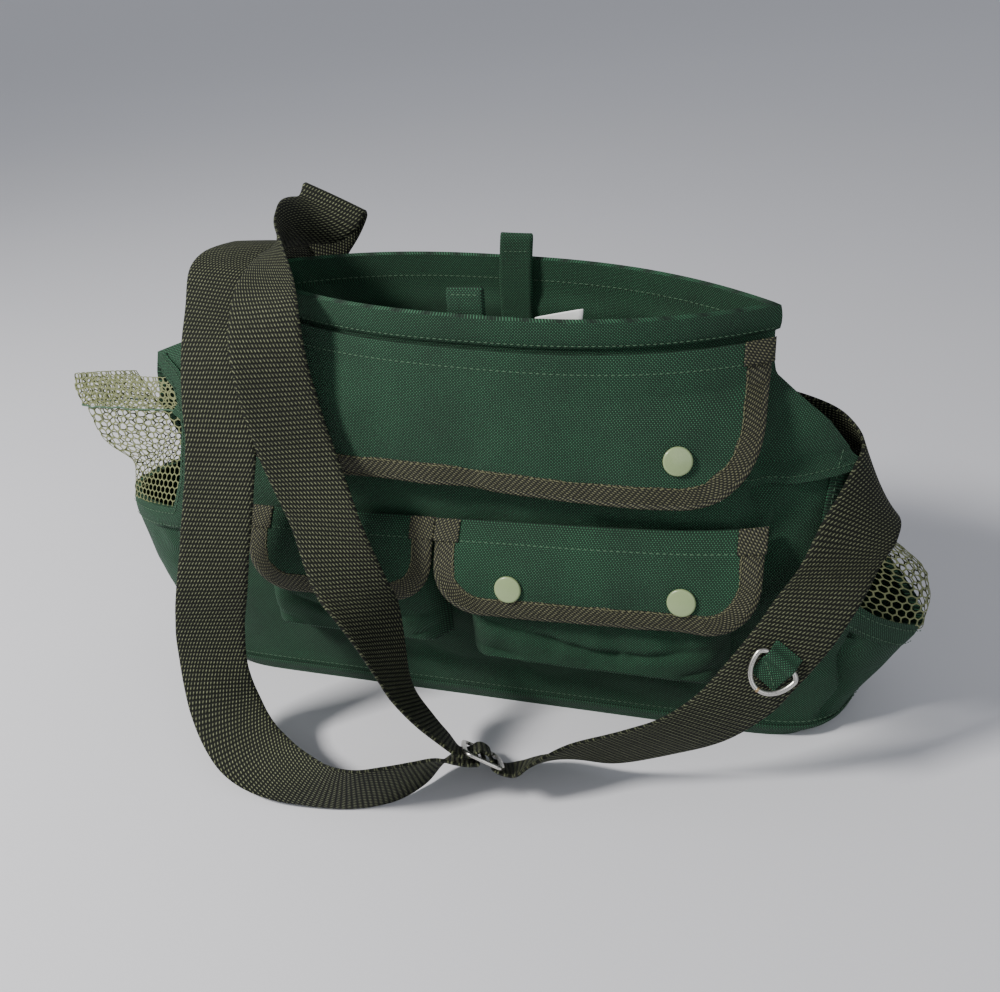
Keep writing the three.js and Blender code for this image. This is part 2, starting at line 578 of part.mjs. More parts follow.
// A wire ring in the plane of its bar and reach: a straight bar closed by an arc.
function wireRing(ring, half, reach, wire, square) {
  const bar = vec(...ring.bar).normalize();
  const out = vec(...ring.reach).normalize();
  const path = [-0.76, 0, 0.76].map((s) => [s * half, 0]);
  const steps = 12;
  for (let i = 0; i <= steps; i += 1) {
    const a = (Math.PI * i) / steps;
    const power = (t) => Math.sign(t) * Math.abs(t) ** square;
    path.push([half * power(Math.cos(a)), 2 + (reach - 2) * power(Math.sin(a))]);
  }
  const sides = 8;
  const points = [];
  const faces = [];
  const count = path.length;
  const normal = bar.clone().cross(out).normalize();
  path.forEach(([a, b], i) => {
    const [pa, pb] = path[(i + count - 1) % count];
    const [na, nb] = path[(i + 1) % count];
    const side = bar.clone().multiplyScalar(nb - pb).addScaledVector(out, pa - na).normalize();
    const centre = vec(...ring.at).addScaledVector(bar, a).addScaledVector(out, b);
    for (let k = 0; k < sides; k += 1) {
      const t = (2 * Math.PI * k) / sides;
      const p = centre.clone().addScaledVector(side, wire * Math.cos(t));
      p.addScaledVector(normal, wire * Math.sin(t));
      points.push([p.x, p.y, p.z]);
    }
  });
  for (let i = 0; i < count; i += 1) {
    for (let k = 0; k < sides; k += 1) {
      const a = i * sides + k;
      const b = i * sides + ((k + 1) % sides);
      const c = ((i + 1) % count) * sides + ((k + 1) % sides);
      const d = ((i + 1) % count) * sides + k;
      faces.push([a, c, b], [a, d, c]);
    }
  }
  return { points, faces };
}

// An outline in the directions reach (x) and face (y), extruded along the bar of a ring.
function alongBar(ring, shape, width) {
  const bar = vec(...ring.bar).normalize();
  const out = vec(...ring.reach).normalize();
  const geometry = new THREE.ExtrudeGeometry(shape, {
    depth: width, bevelEnabled: false, curveSegments: 8,
  });
  geometry.translate(0, 0, -width / 2);
  const face = bar.clone().cross(out).normalize();
  const turn = new THREE.Matrix4().makeBasis(out, face, bar);
  geometry.applyMatrix4(turn);
  geometry.translate(...ring.at);
  return geometry;
}

// The strap slider: a flat plate with two slots that leave its middle and end bars.
function sliderPlate() {
  const slot = (SLIDER_SPAN - 3 * SLIDER_BAR) / 2;
  const step = (slot + SLIDER_BAR) / 2;
  let plate = box(SLIDER_SPAN, SLIDER_LENGTH, SLIDER_PLATE, 0);
  for (const x of [-step, step]) {
    plate = plate.subtract(box(slot, SLIDER_LENGTH - 2 * SLIDER_BAR, 3 * SLIDER_PLATE, x));
  }
  const { points, faces } = shapeOf(plate);
  const geometry = new THREE.BufferGeometry();
  geometry.setAttribute('position', new THREE.Float32BufferAttribute(points.flat(), 3));
  geometry.setIndex(faces.flat());
  geometry.computeVertexNormals();
  const bar = vec(...SLIDER.bar).normalize();
  const face = vec(...SLIDER.reach).cross(bar).normalize();
  const out = bar.clone().cross(face);
  geometry.applyMatrix4(new THREE.Matrix4().makeBasis(out, bar, face));
  geometry.translate(...SLIDER.at);
  return geometry;
}

// The sewn cloth tab that holds the ring's bar: a flat strip with a tunnel round the bar.
function ringTab() {
  const outline = [
    [-7.5, 1.7], [-3.6, 1.4], [-2.7, -1.4], [-1.0, -2.7], [1.0, -2.7], [2.7, -1.4],
    [3.6, 1.6], [13.4, 1.7], [13.4, 2.7], [-7.5, 2.7],
  ].map(([x, y]) => new THREE.Vector2(x, y));
  const shape = new THREE.Shape(outline);
  const tunnel = new THREE.Path();
  tunnel.absarc(0, 0, RING_WIRE + 0.4, 0, 2 * Math.PI);
  shape.holes.push(tunnel);
  return alongBar(D_RING, shape, RING_TAB);
}

function mesh(name, geometry, colour, roughness, metalness = 0) {
  const material = new THREE.MeshStandardMaterial({ color: colour, roughness, metalness });
  const out = new THREE.Mesh(geometry, material);
  out.name = name;
  return out;
}

const bag = new THREE.Group();
const cloth = (name, shape, colour = COLOURS.cloth) => {
  bag.add(solid(name, shape.points, shape.faces, colour));
};
cloth('body_shell', bodyShell());
cloth('side_mesh_right', sheet(9, 6, netAt(NET_RIGHT), NET_CLOTH, NET_HOLE), COLOURS.net);
cloth('side_mesh_left', sheet(9, 6, netAt(NET_LEFT), NET_CLOTH, NET_HOLE), COLOURS.net);
cloth('main_flap', flapCloth(MAIN_FLAP, 22, 7));
cloth('main_flap_binding', flapBand(MAIN_FLAP, 3, 9, 14), COLOURS.binding);
cloth('small_pocket', pocketCloth(SMALL_POCKET));
cloth('small_pocket_flap', flapCloth(SMALL_FLAP, 8, 6));
cloth('small_flap_binding', flapBand(SMALL_FLAP, 2, 7, 6), COLOURS.binding);
cloth('large_pocket', pocketCloth(LARGE_POCKET));
cloth('large_pocket_flap', flapCloth(LARGE_FLAP, 12, 6));
cloth('large_flap_binding', flapBand(LARGE_FLAP, 2, 7, 9), COLOURS.binding);
for (const snap of SNAPS) bag.add(mesh(snap.name, snapCap(snap), COLOURS.snap, 0.35));
cloth('strap_right_leg', ribbon(RIGHT_LEG, 36), COLOURS.webbing);
cloth('strap_front_leg', ribbon(FRONT_LEG, 48), COLOURS.webbing);
cloth('strap_left_leg', ribbon(LEFT_LEG, 52), COLOURS.webbing);
cloth('front_tab', ribbon(FRONT_TAB, 12, RIM_TAB, RIM_TAB_CLOTH));
cloth('back_tab', ribbon(BACK_TAB, 16, RIM_TAB, RIM_TAB_CLOTH));
cloth('inner_label', ribbon(LABEL, 4, LABEL_WIDTH, LABEL_CLOTH), COLOURS.label);
bag.add(mesh('strap_slider', sliderPlate(), COLOURS.metal, 0.25, 1));
const ring = wireRing(D_RING, RING_HALF, RING_REACH, RING_WIRE, 1);
bag.add(solid('d_ring', ring.points, ring.faces, COLOURS.metal, 0.25, 1));
bag.add(mesh('d_ring_tab', ringTab(), COLOURS.cloth, 0.85));
const loop = wireRing(LOOP, LOOP_HALF, 2 * LOOP_REACH, LOOP_WIRE, 0.4);
bag.add(solid('left_ring', loop.points, loop.faces, COLOURS.metal, 0.25, 1));
cloth('left_ring_tab', ribbon(LOOP_STRIP, 6, LOOP_TAB, STRAP_CLOTH));

export default bag;
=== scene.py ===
"""Looks for a soft fishing creel bag: shell, flaps, pockets, side nets, webbing strap and fittings."""

import math

import bmesh
import bpy
import numpy as np
from bpy.props import FloatProperty, FloatVectorProperty, IntProperty, PointerProperty
from mathutils import Matrix, Vector


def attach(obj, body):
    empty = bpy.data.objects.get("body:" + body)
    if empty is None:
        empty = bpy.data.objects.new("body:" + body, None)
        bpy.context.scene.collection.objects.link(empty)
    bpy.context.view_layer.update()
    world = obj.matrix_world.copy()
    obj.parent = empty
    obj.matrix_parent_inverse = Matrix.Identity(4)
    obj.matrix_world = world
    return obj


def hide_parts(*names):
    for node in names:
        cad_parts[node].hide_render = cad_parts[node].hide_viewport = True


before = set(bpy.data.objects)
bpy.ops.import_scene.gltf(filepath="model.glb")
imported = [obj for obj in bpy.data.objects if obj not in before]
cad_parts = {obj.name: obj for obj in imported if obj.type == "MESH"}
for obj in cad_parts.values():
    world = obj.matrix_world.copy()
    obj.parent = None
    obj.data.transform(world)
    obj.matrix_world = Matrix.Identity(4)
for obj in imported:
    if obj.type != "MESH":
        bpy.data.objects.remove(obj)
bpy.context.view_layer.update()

bl_info = {
    "name": "Fishing creel bag",
    "version": (1, 0, 0),
    "blender": (4, 5, 0),
    "location": "View3D > Sidebar > Creel",
    "description": "Builds the looks of a soft fishing creel bag over its CAD frame",
    "category": "Add Mesh",
}

MM = 0.001

# Sizes in millimetres. Those of the bag, the flaps, the strap and the tabs are the same as in the
# part's source, but for BAND: the tape is drawn wider inwards, over the flap's cloth. Only the
# looks have the window hems' and the seams' sizes, and BACK_MORE, how much further out the back
# panel runs beside each window.
HEIGHT = 251.0
HALF_WIDTH = 205.0
HALF_DEPTH = 50.0
WALL = 2.4
HEM_HEIGHT = 15.0
HEM_PROUD = 1.0
BACK_MORE_LEFT = 32.0
BACK_MORE_RIGHT = 8.5
WINDOW_HEM = 12.5
RIM_TILT = -0.047
FLAP_CLOTH = 2.0
BAND = 13.0
BAND_CLOTH = 2.8
SNAP_RADIUS = 7.5
SNAP_HEIGHT = 2.6
STRAP_WIDTH = 40.0
STRAP_CLOTH = 1.8
TAB_WIDTH = 18.5
TAB_CLOTH = 1.4
RING_TAB_WIDTH = 16.0
LOOP_STRIP_WIDTH = 20.0
LABEL_WIDTH = 25.0
LABEL_CLOTH = 0.8
SEAM_STRIP = 0.9
YOKE_LAP = 9.0

# Stitches: pitch, length and the thread's radius.
TAPE_STITCH = (3.3, 2.4, 0.34)
FLAP_STITCH = (3.4, 2.5, 0.32)
RIM_STITCH = (3.4, 2.5, 0.32)
HEM_STITCH = (3.4, 2.4, 0.30)
FOOT_STITCH = (3.4, 2.4, 0.28)
YOKE_STITCH = (3.3, 2.4, 0.28)
TAB_STITCH = (2.8, 2.0, 0.30)

# The body's sections: level as a share of the height, then the reach to the left and right as
# shares of the half-width, the front and back depth and the side fold as shares of the
# half-depth, and how full the section's corners are. The left shoulder reaches a little further
# than in the part's source.
BODY = np.array([
    (0.000, 0.98, 0.98, 1.00, 1.00, 0.0, 20.0),
    (0.030, 1.07, 1.04, 1.04, 1.02, -0.1, 16.0),
    (0.130, 1.18, 1.11, 1.08, 1.04, -0.2, 12.0),
    (0.250, 1.25, 1.19, 1.13, 1.05, -0.2, 8.5),
    (0.350, 1.27, 1.18, 1.17, 1.06, -0.2, 8.0),
    (0.430, 1.26, 1.12, 1.19, 1.06, -0.2, 7.0),
    (0.500, 1.20, 1.06, 1.20, 1.06, -0.2, 6.0),
    (0.600, 1.13, 1.00, 1.19, 1.05, -0.2, 5.0),
    (0.700, 1.07, 0.94, 1.15, 1.04, -0.2, 4.0),
    (0.755, 1.06, 0.89, 1.12, 1.03, -0.2, 3.6),
    (0.805, 1.04, 0.82, 1.08, 1.02, -0.2, 3.2),
    (0.850, 0.88, 0.75, 1.04, 1.00, -0.1, 2.9),
    (0.895, 0.76, 0.74, 1.01, 1.00, -0.1, 2.7),
    (0.938, 0.74, 0.74, 1.00, 1.00, 0.0, 2.6),
    (1.000, 0.74, 0.74, 1.00, 1.00, 0.0, 2.5),
])

# The edges of the side windows: how far out as a share of the half-width, at a level. The first
# and last points lie beyond the wall.
WINDOW_RIGHT = np.array([
    (1.460, 0.090), (1.195, 0.247), (0.995, 0.378), (0.945, 0.480),
    (0.950, 0.580), (0.960, 0.655), (0.970, 0.695), (1.460, 0.760),
])
WINDOW_LEFT = np.array([
    (1.560, 0.380), (1.265, 0.426), (0.980, 0.470), (0.940, 0.550),
    (0.925, 0.660), (0.955, 0.745), (1.075, 0.785), (1.560, 0.850),
])

# The nets: window edge and its level, then tip and its level, from the bottom to the top.
NET_RIGHT = np.array([
    (0.990, 0.3825, 1.192, 0.255), (0.942, 0.440, 1.190, 0.350),
    (0.906, 0.500, 1.140, 0.415), (0.888, 0.560, 1.040, 0.480),
    (0.890, 0.590, 0.975, 0.555), (0.905, 0.615, 0.930, 0.605),
])
NET_LEFT = np.array([
    (-0.986, 0.474, -1.232, 0.442), (-0.954, 0.540, -1.205, 0.505),
    (-0.942, 0.590, -1.190, 0.550), (-0.936, 0.640, -1.280, 0.600),
    (-0.947, 0.700, -1.300, 0.680), (-0.990, 0.777, -1.315, 0.770),
])

# Flaps: x of the middle, half the width, z of the seam and its slope, the drop, the corners'
# radius, then how far the cloth stands off the wall at the seam and how much more at the foot.
MAIN_FLAP = dict(middle=0, half=151, top=235, rise=RIM_TILT, drop=72, corner=40, near=3, lift=9)
SMALL_FLAP = dict(middle=-79, half=57, top=136, rise=0.03, drop=45, corner=26, near=1.6, lift=20)
LARGE_FLAP = dict(middle=67.5, half=88, top=140, rise=0.03, drop=49, corner=28, near=1.6, lift=22)

# Steps of a flap's outline: down a side, round a corner, along the bottom, and all of them.
EDGE_SIDE, EDGE_ARC, EDGE_BOTTOM = 16, 44, 80
EDGE_STEPS = 2 * (EDGE_SIDE + EDGE_ARC) + EDGE_BOTTOM

# Pockets: x of the middle, half the width, z of the top and the bottom, and the depth.
SMALL_POCKET = dict(middle=-76, half=55, top=128, bottom=57, depth=16)
LARGE_POCKET = dict(middle=67, half=73, top=131, bottom=50, depth=17)

# Snaps: the flap that each sits on, then its x and z.
SNAPS = {
    "main_snap_right": (MAIN_FLAP, 110, 183),
    "main_snap_left": (MAIN_FLAP, -104, 189),
    "small_pocket_snap": (SMALL_FLAP, -79, 109),
    "large_pocket_snap_left": (LARGE_FLAP, 23, 108),
    "large_pocket_snap_right": (LARGE_FLAP, 116, 111),
}

# Strap routes: x, y, z, then the direction across the webbing.
RIGHT_LEG = np.array([
    (156, 31.5, 170, 0, 0.4, -0.9), (175, 25, 167, 0, 0.4, -0.9),
    (193, 16, 161, 0.1, 0.3, -0.95), (208, 0, 151, 0.35, 0.1, -0.93),
    (208, -21, 146, 0.7, 0.2, -0.65), (202, -40, 140, 0.85, 0.2, -0.4),
    (193, -57, 128, 0.95, 0.3, -0.1), (184, -73, 118, 1, 0.1, 0),
    (172, -86, 100, 1, 0.1, -0.1), (156, -96, 78, 1, 0.1, -0.1),
    (144, -100, 62, 0.9, 0.2, -0.3), (126, -104, 47, 0.8, 0.3, -0.5),
    (103, -108, 37, 0.7, 0.4, -0.6), (74, -112, 27, 0.5, 0.5, -0.7),
    (47, -116, 21, 0.1, 0.8, -0.6), (34, -119, 15, -0.2, 0.8, -0.6),
    (27, -121, 14, -0.3, 0.75, -0.6), (20.3, -121.4, 16.2, -0.3, 0.75, -0.6),
    (18, -120.8, 18, -0.3, 0.75, -0.6),
])
FRONT_LEG = np.array([
    (17.6, -119.6, 20.2, -0.3, 0.75, -0.6), (16.4, -118.2, 22.6, -0.3, 0.75, -0.6),
    (13.9, -117.8, 24.4, -0.3, 0.75, -0.6), (10.6, -118.5, 25.3, -0.3, 0.75, -0.6),
    (6.8, -121.2, 23.9, -0.3, 0.75, -0.6), (0.5, -123.2, 24.8, -0.3, 0.75, -0.6),
    (-9, -120, 30, -0.2, 0.8, -0.6), (-20, -117, 38, -0.1, 0.8, -0.6),
    (-32, -114, 51, 0, 0.8, -0.6), (-38, -112, 64, 0.1, 0.8, -0.6),
    (-43, -110, 82, 0.3, 0.8, -0.5), (-50, -107, 101, 0.6, 0.7, -0.3),
    (-60, -103, 119, 0.9, 0.3, 0), (-70, -97, 147, 1, 0.1, 0),
    (-79, -91, 168, 1, 0.2, 0), (-88, -84, 188, 1, 0.3, 0),
    (-96, -77, 210, 1, 0.3, 0), (-103, -68, 236, 1, 0.2, 0),
    (-107, -56, 254, 1, 0, 0.1), (-113, -37, 264, 0.93, -0.3, 0.1),
    (-121, -10, 272, 0.65, -0.65, 0.3), (-123, 14, 275, 0.1, -0.8, 0.6),
    (-117, 36, 276, -0.6, -0.3, 0.65), (-111, 45, 279, -0.9, 0, 0.42),
    (-109, 51, 285, -0.9, 0, 0.42), (-112, 60, 280, -0.9, 0, 0.42),
    (-122, 67, 266, -0.92, 0, 0.38), (-137, 72, 246, -0.97, 0, 0.2),
    (-146, 70, 226, -1, 0, 0), (-147, 68.5, 218, -1, 0, 0), (-147, 65.5, 215.5, -1, 0, 0),
])
LEFT_LEG = np.array([
    (-147, 62.5, 215.5, 1, 0, 0), (-147, 59.5, 218, 1, 0, 0), (-147, 57, 228, 1, 0, 0),
    (-147, 51, 248, 1, 0, 0), (-148, 39, 261, 1, 0, 0), (-151, 21, 265, 1, 0, 0),
    (-154, 1, 263.5, 1, 0, -0.1), (-151, -20, 260, 1, 0, -0.1),
    (-145, -40, 246, 1, 0, -0.1), (-138, -61, 231, 1, 0.1, 0),
    (-134, -76, 210, 1, 0.1, 0), (-131, -87, 187, 1, 0.1, 0),
    (-134, -98, 156, 1, 0.1, 0), (-141, -110, 112, 1, 0.2, 0),
    (-147, -114, 83, 1, 0.2, 0), (-148, -118, 58, 1, 0.2, 0),
    (-142, -125, 38, 0.9, 0.4, 0), (-130, -136, 27, 0.8, 0.5, 0.2),
    (-116, -145, 21, 0.7, 0.5, 0.4), (-97, -153, 19, 0.6, 0.3, 0.7),
    (-73, -159, 20, 0.5, 0, 0.8), (-50, -158, 20, 0.2, -0.2, 0.9),
    (-31, -150, 20, 0.1, -0.3, 0.9), (-18, -139, 20, 0.1, -0.5, 0.9),
    (-9, -130, 22, 0.2, -0.65, 0.75), (-0.5, -126, 22, 0.3, -0.75, 0.6),
    (5.8, -124.4, 20.4, 0.3, -0.75, 0.6), (11, -122.6, 19.9, 0.3, -0.75, 0.6),
])

# Routes of the rim's tabs, the label and the left ring's strip: x, y, z.
FRONT_TAB = np.array([
    (1, -45.9, 238), (1, -46.1, 250), (1, -45.9, 261), (1, -44.6, 264), (1, -43, 261),
    (1, -43.2, 250), (1, -43.6, 238),
])
BACK_TAB = np.array([
    (2, 45.2, 214), (2.5, 45.5, 240), (3.5, 46.4, 256), (4, 47, 263), (4, 46.2, 265.5),
    (4, 44.6, 263), (3.5, 43.8, 256), (2.5, 42.8, 240), (2, 42.6, 214),
])
LABEL = np.array([(46, -42.8, 226), (47, -42, 240), (48, -41, 251)])
LOOP_STRIP = np.array([
    (-147, 42.5, 182), (-147, 44.5, 190), (-147, 52, 198), (-147, 64, 199.8),
])

# Fittings: a point on the bar, the bar's direction and the way the wire reaches from it, then
# half the width, the reach, the wire's radius and how square the arc is.
D_RING = dict(
    at=(167.2, -95.3, 91.9), bar=(0.81, -0.2, -0.55), reach=(-0.57, -0.42, -0.71),
    half=11.5, deep=18, wire=1.4, square=1.0,
)
LOOP = dict(
    at=(-147, 64, 220.3), bar=(1, 0, 0), reach=(0, 0.1, -1),
    half=24, deep=18, wire=1.8, square=0.4,
)
# The slider: the middle of its bar, the ways along and across it, half its size each way, then
# half the width and thickness of its rim.
SLIDER = dict(
    at=(13, -120, 22), bar=(-0.318, 0.751, -0.579), reach=(0.9, 0.05, -0.43),
    half=22.5, deep=11.0, wire=1.5, plate=1.1,
)

# Folds pressed into the front wall: from x, z to x, z, then the width and the depth inwards.
FRONT_FOLDS = [
    (207, 84, 208, 36, 2.6, 4.2), (208, 42, 197, 6, 2.6, 3.6), (-215, 120, -211, 60, 2.8, 3.8),
    (157, 164, 166, 146, 3.4, 1.8), (166, 148, 160, 122, 3.6, 2.0),
    (150, 176, 186, 168, 4.0, 2.2), (158, 168, 150, 130, 5.0, 2.4),
    (170, 160, 158, 112, 5.0, 1.8), (146, 150, 154, 96, 4.5, 2.0),
    (160, 200, 150, 150, 6.0, 2.0), (190, 96, 170, 34, 6.0, 3.0),
    (-20, 152, 120, 158, 5.0, 1.4), (-60, 30, 90, 22, 7.0, 2.6),
    (-120, 44, -30, 34, 6.0, 2.2), (40, 34, 150, 40, 6.0, 2.2),
    (-195, 120, -180, 60, 6.0, 2.4), (-214, 92, -196, 30, 6.0, 2.4),
    (-150, 150, -158, 90, 5.0, 2.0), (200, 70, 214, 30, 6.0, 2.0),
]

# Creases across a pocket's lower half: from u, v to u, v on its face, then width and depth.
POCKET_CREASES = [
    (0.06, 0.46, 0.55, 0.24, 0.030, 3.0), (0.62, 0.26, 0.95, 0.40, 0.028, 2.6),
    (0.03, 0.22, 0.22, 0.10, 0.030, 2.4), (0.82, 0.12, 0.97, 0.26, 0.026, 2.4),
]

# Folds of the back wall, listed like the front's.
BACK_FOLDS = [
    (-120, 190, 40, 60, 9.0, 2.6), (120, 180, -30, 40, 9.0, 2.4),
    (-60, 215, -20, 120, 7.0, 2.4), (60, 215, 90, 110, 7.0, 2.4),
    (-170, 120, -60, 30, 8.0, 2.2), (180, 110, 90, 24, 8.0, 2.2),
    (-10, 150, 60, 30, 8.0, 2.0), (-100, 90, 30, 100, 7.0, 1.6),
]

# The camera, worked out from the photograph: its place in metres and its angles in degrees.
CAMERA = dict(at=(0.160, -0.503, 0.423), pitch=30, azimuth=18.02, roll=-4.598, lens=36.0)


def linear(red, green, blue):
    """A screen colour from 0 to 255 as the linear colour that shaders use."""
    c = np.array([red, green, blue]) / 255
    return tuple(np.where(c <= 0.04045, c / 12.92, ((c + 0.055) / 1.055) ** 2.4)) + (1.0,)


def unit(v):
    """Each vector divided by its length."""
    v = np.asarray(v, float)
    return v / np.maximum(np.linalg.norm(v, axis=-1, keepdims=True), 1e-12)


def squared(t, power):
    """The size of a number to a power, with the number's sign: it makes a circle's sine and
    cosine those of a rounded square."""
    return np.sign(t) * np.abs(t) ** power


def smoothly(rows, t):
    """The rows' columns at the row numbers t: a cubic through each pair of rows whose slope at
    a row is half the step between its two neighbours."""
    rows = np.asarray(rows, float)
    t = np.clip(np.asarray(t, float), 0, len(rows) - 1)
    i = np.minimum(t.astype(int), len(rows) - 2)
    s = (t - i)[..., None]
    b, c = rows[i], rows[i + 1]
    a = np.where((i > 0)[..., None], rows[np.maximum(i - 1, 0)], 2 * b - c)
    d = np.where((i + 2 < len(rows))[..., None], rows[np.minimum(i + 2, len(rows) - 1)], 2 * c - b)
    bend = (2 * a - 5 * b + 4 * c - d) * s + (3 * (b - c) + d - a) * s * s
    return b + 0.5 * s * (c - a + bend)


def ripple(a, b, size, seed):
    """Smooth noise from -1 to 1: numbers on a square lattice of that size, blended both ways
    with the weight 3s^2 - 2s^3."""
    table = np.random.default_rng(seed).uniform(-1, 1, (64, 64))
    a, b = np.broadcast_arrays(np.asarray(a, float) / size + 31.7, np.asarray(b, float) / size + 23.3)
    i, j = np.floor(a).astype(int), np.floor(b).astype(int)
    s, t = a - i, b - j
    s, t = s * s * (3 - 2 * s), t * t * (3 - 2 * t)
    low = table[i % 64, j % 64] * (1 - s) + table[(i + 1) % 64, j % 64] * s
    high = table[i % 64, (j + 1) % 64] * (1 - s) + table[(i + 1) % 64, (j + 1) % 64] * s
    return low * (1 - t) + high * t


def ease(value, low, high):
    """0 below low, 1 above high, and the smooth step between them."""
    s = np.clip((value - low) / (high - low), 0, 1)
    return s * s * (3 - 2 * s)


def section(level):
    """The body table's columns at each level, straight between its rows."""
    return [np.interp(level, BODY[:, 0], BODY[:, k]) for k in range(1, 7)]


def rim_shift(x, level):
    """The rim leans: a level rises by the tilt times x times the level cubed."""
    return RIM_TILT * x * level ** 3


def body_point(level, q, side, inset):
    """The body's outline: x is q times the reach, and y goes from the side fold to the front
    or back depth by one minus |q| to the power of the section's fullness."""
    left, right, front, back, fold, full = section(level)
    reach = np.where(q < 0, left, right) * HALF_WIDTH - 2 * inset
    fold = fold * HALF_DEPTH
    deep = (-front if side < 0 else back) * HALF_DEPTH - side * inset
    x = q * reach
    y = fold + (deep - fold) * (1 - np.abs(q) ** full)
    return np.stack(np.broadcast_arrays(x, y, level * HEIGHT + rim_shift(x, level)), -1)


def wall_y(x, z, side):
    """The y of the body's outer face at x, z."""
    x, z = np.asarray(x, float), np.asarray(z, float)
    level = np.clip((z - rim_shift(x, z / HEIGHT)) / HEIGHT, 0, 1)
    left, right = section(level)[:2]
    q = np.clip(x / (np.where(x < 0, left, right) * HALF_WIDTH), -1, 1)
    return body_point(level, q, side, 0)[..., 1]


def fold_depth(folds, x, z):
    """How far folds press in: each is a groove along a line whose depth falls off as the bell
    curve of the distance from the line and fades towards its two ends."""
    total = np.zeros(np.broadcast(x, z).shape)
    for x0, z0, x1, z1, width, depth in folds:
        length = math.hypot(x1 - x0, z1 - z0)
        along = ((x - x0) * (x1 - x0) + (z - z0) * (z1 - z0)) / length
        off = ((x - x0) * (z1 - z0) - (z - z0) * (x1 - x0)) / length
        off = off + 3 * ripple(along, 0 * along, 22, int(abs(x0) + abs(z1)))
        ends = ease(along, -0.15 * length, 0.25 * length) * ease(-along, -1.15 * length, -0.75 * length)
        total += depth * ends * np.exp(-((off / width) ** 2))
    return total


def flap_edge(flap, k, inset):
    """The outline of a flap: down the left side, round a quarter circle, along the bottom and up
    again; k counts steps, and inset draws it in."""
    corner, drop, half = flap["corner"] - inset, flap["drop"] - inset, flap["half"] - inset
    m = np.minimum(k, EDGE_STEPS - k)
    sign = np.where(k < EDGE_STEPS / 2, -1, 1)
    turn = np.clip((m - EDGE_SIDE) / EDGE_ARC, 0, 1) * math.pi / 2
    run = np.clip((k - EDGE_SIDE - EDGE_ARC) / EDGE_BOTTOM, 0, 1)
    across = np.where(
        m <= EDGE_SIDE + EDGE_ARC,
        sign * (half - corner * (1 - np.cos(turn))),
        (half - corner) * (2 * run - 1),
    )
    down = np.where(
        m <= EDGE_SIDE, m / EDGE_SIDE * (drop - corner), drop - corner * (1 - np.sin(turn)),
    )
    return across, down


def flap_point(flap, across, down):
    """A flap's middle surface: it follows the wall and stands off by a lift that grows with the
    sine of the share of the drop, measured square to the wall."""
    x = flap["middle"] + across
    z = flap["top"] + flap["rise"] * across - down
    share = np.clip(down / flap["drop"], 0, 1)
    lift = flap["near"] + flap["lift"] * np.sin(math.pi / 2 * share) ** 0.8
    slope = np.clip((wall_y(x + 2, z, -1) - wall_y(x - 2, z, -1)) / 4, -1.4, 1.4)
    sway = 0.8 * ripple(x, z, 34, 5) + 0.35 * ripple(x, z, 13, 6)
    sway = sway + 2.4 * np.maximum(ripple(0.8 * x + 0.6 * z, 0.7 * z - 0.35 * x, 23, 7), 0)
    return np.stack([x, wall_y(x, z, -1) - lift * np.hypot(1, slope) + sway * share, z], -1)


def pocket_point(pocket, u, v):
    """A bellows pocket: a front face whose sides drop back to the panel by |q|^14, whose foot
    folds under along a crisp edge that hangs below the seam, and whose top leans back by a
    cosine."""
    q = 2 * u - 1
    wide = 1 - np.abs(q) ** 14
    x = pocket["middle"] + pocket["half"] * squared(q, 0.8)
    under = 1 - np.clip(v / 0.10, 0, 1)
    z = pocket["bottom"] + (pocket["top"] - pocket["bottom"]) * v ** 1.2 + 7.0 * under ** 2 * wide
    puff = 0.55 + 0.45 * np.cos(math.pi * np.clip(v - 0.3, 0, 0.7) / 0.7 / 1.15)
    foot = 1 - under ** 2.2
    return np.stack([x, wall_y(x, z, -1) - 1.6 - pocket["depth"] * wide * foot * puff, z], -1)


def net_point(rows, u, v):
    """A side net: from the front edge of its window round the tip to the back edge, out by the
    sine of u to the power 0.9, between the table's edge and tip. Its own edges lie a little
    inside the wall, behind the window's, and its foot hangs lower than the table says."""
    edge, edge_up, tip, tip_up = np.moveaxis(smoothly(rows, v * (len(rows) - 1)), -1, 0)
    low = 3.0 * (1 - v) ** 8
    edge, tip = 0.978 * edge * HALF_WIDTH, tip * HALF_WIDTH
    edge_z, tip_z = edge_up * HEIGHT - low, tip_up * HEIGHT - low
    out = np.sin(math.pi * np.clip(u, 0, 1)) ** 0.9
    front = wall_y(edge, edge_z, -1) + WALL
    more = np.where(edge < 0, -BACK_MORE_LEFT, BACK_MORE_RIGHT)
    back = wall_y(edge + more, edge_z, 1) - WALL
    edge = edge + more * ease(u, 0.4, 1)
    return np.stack([
        edge + (tip - edge) * out, front + (back - front) * u, edge_z + (tip_z - edge_z) * out,
    ], -1)


def measured(points, axis):
    """Distance along one axis of a grid of points, added up from its first row or column."""
    step = np.linalg.norm(np.diff(points, axis=axis), axis=-1)
    zero = np.zeros_like(np.take(step, [0], axis))
    return np.cumsum(np.concatenate([zero, step], axis), axis)


def patch_faces(rows, cols, start):
    """The four-sided faces of a grid of rows by cols points."""
    i = np.arange(rows * cols).reshape(rows, cols) + start
    return np.stack([i[:-1, :-1], i[:-1, 1:], i[1:, 1:], i[1:, :-1]], -1).reshape(-1, 4)


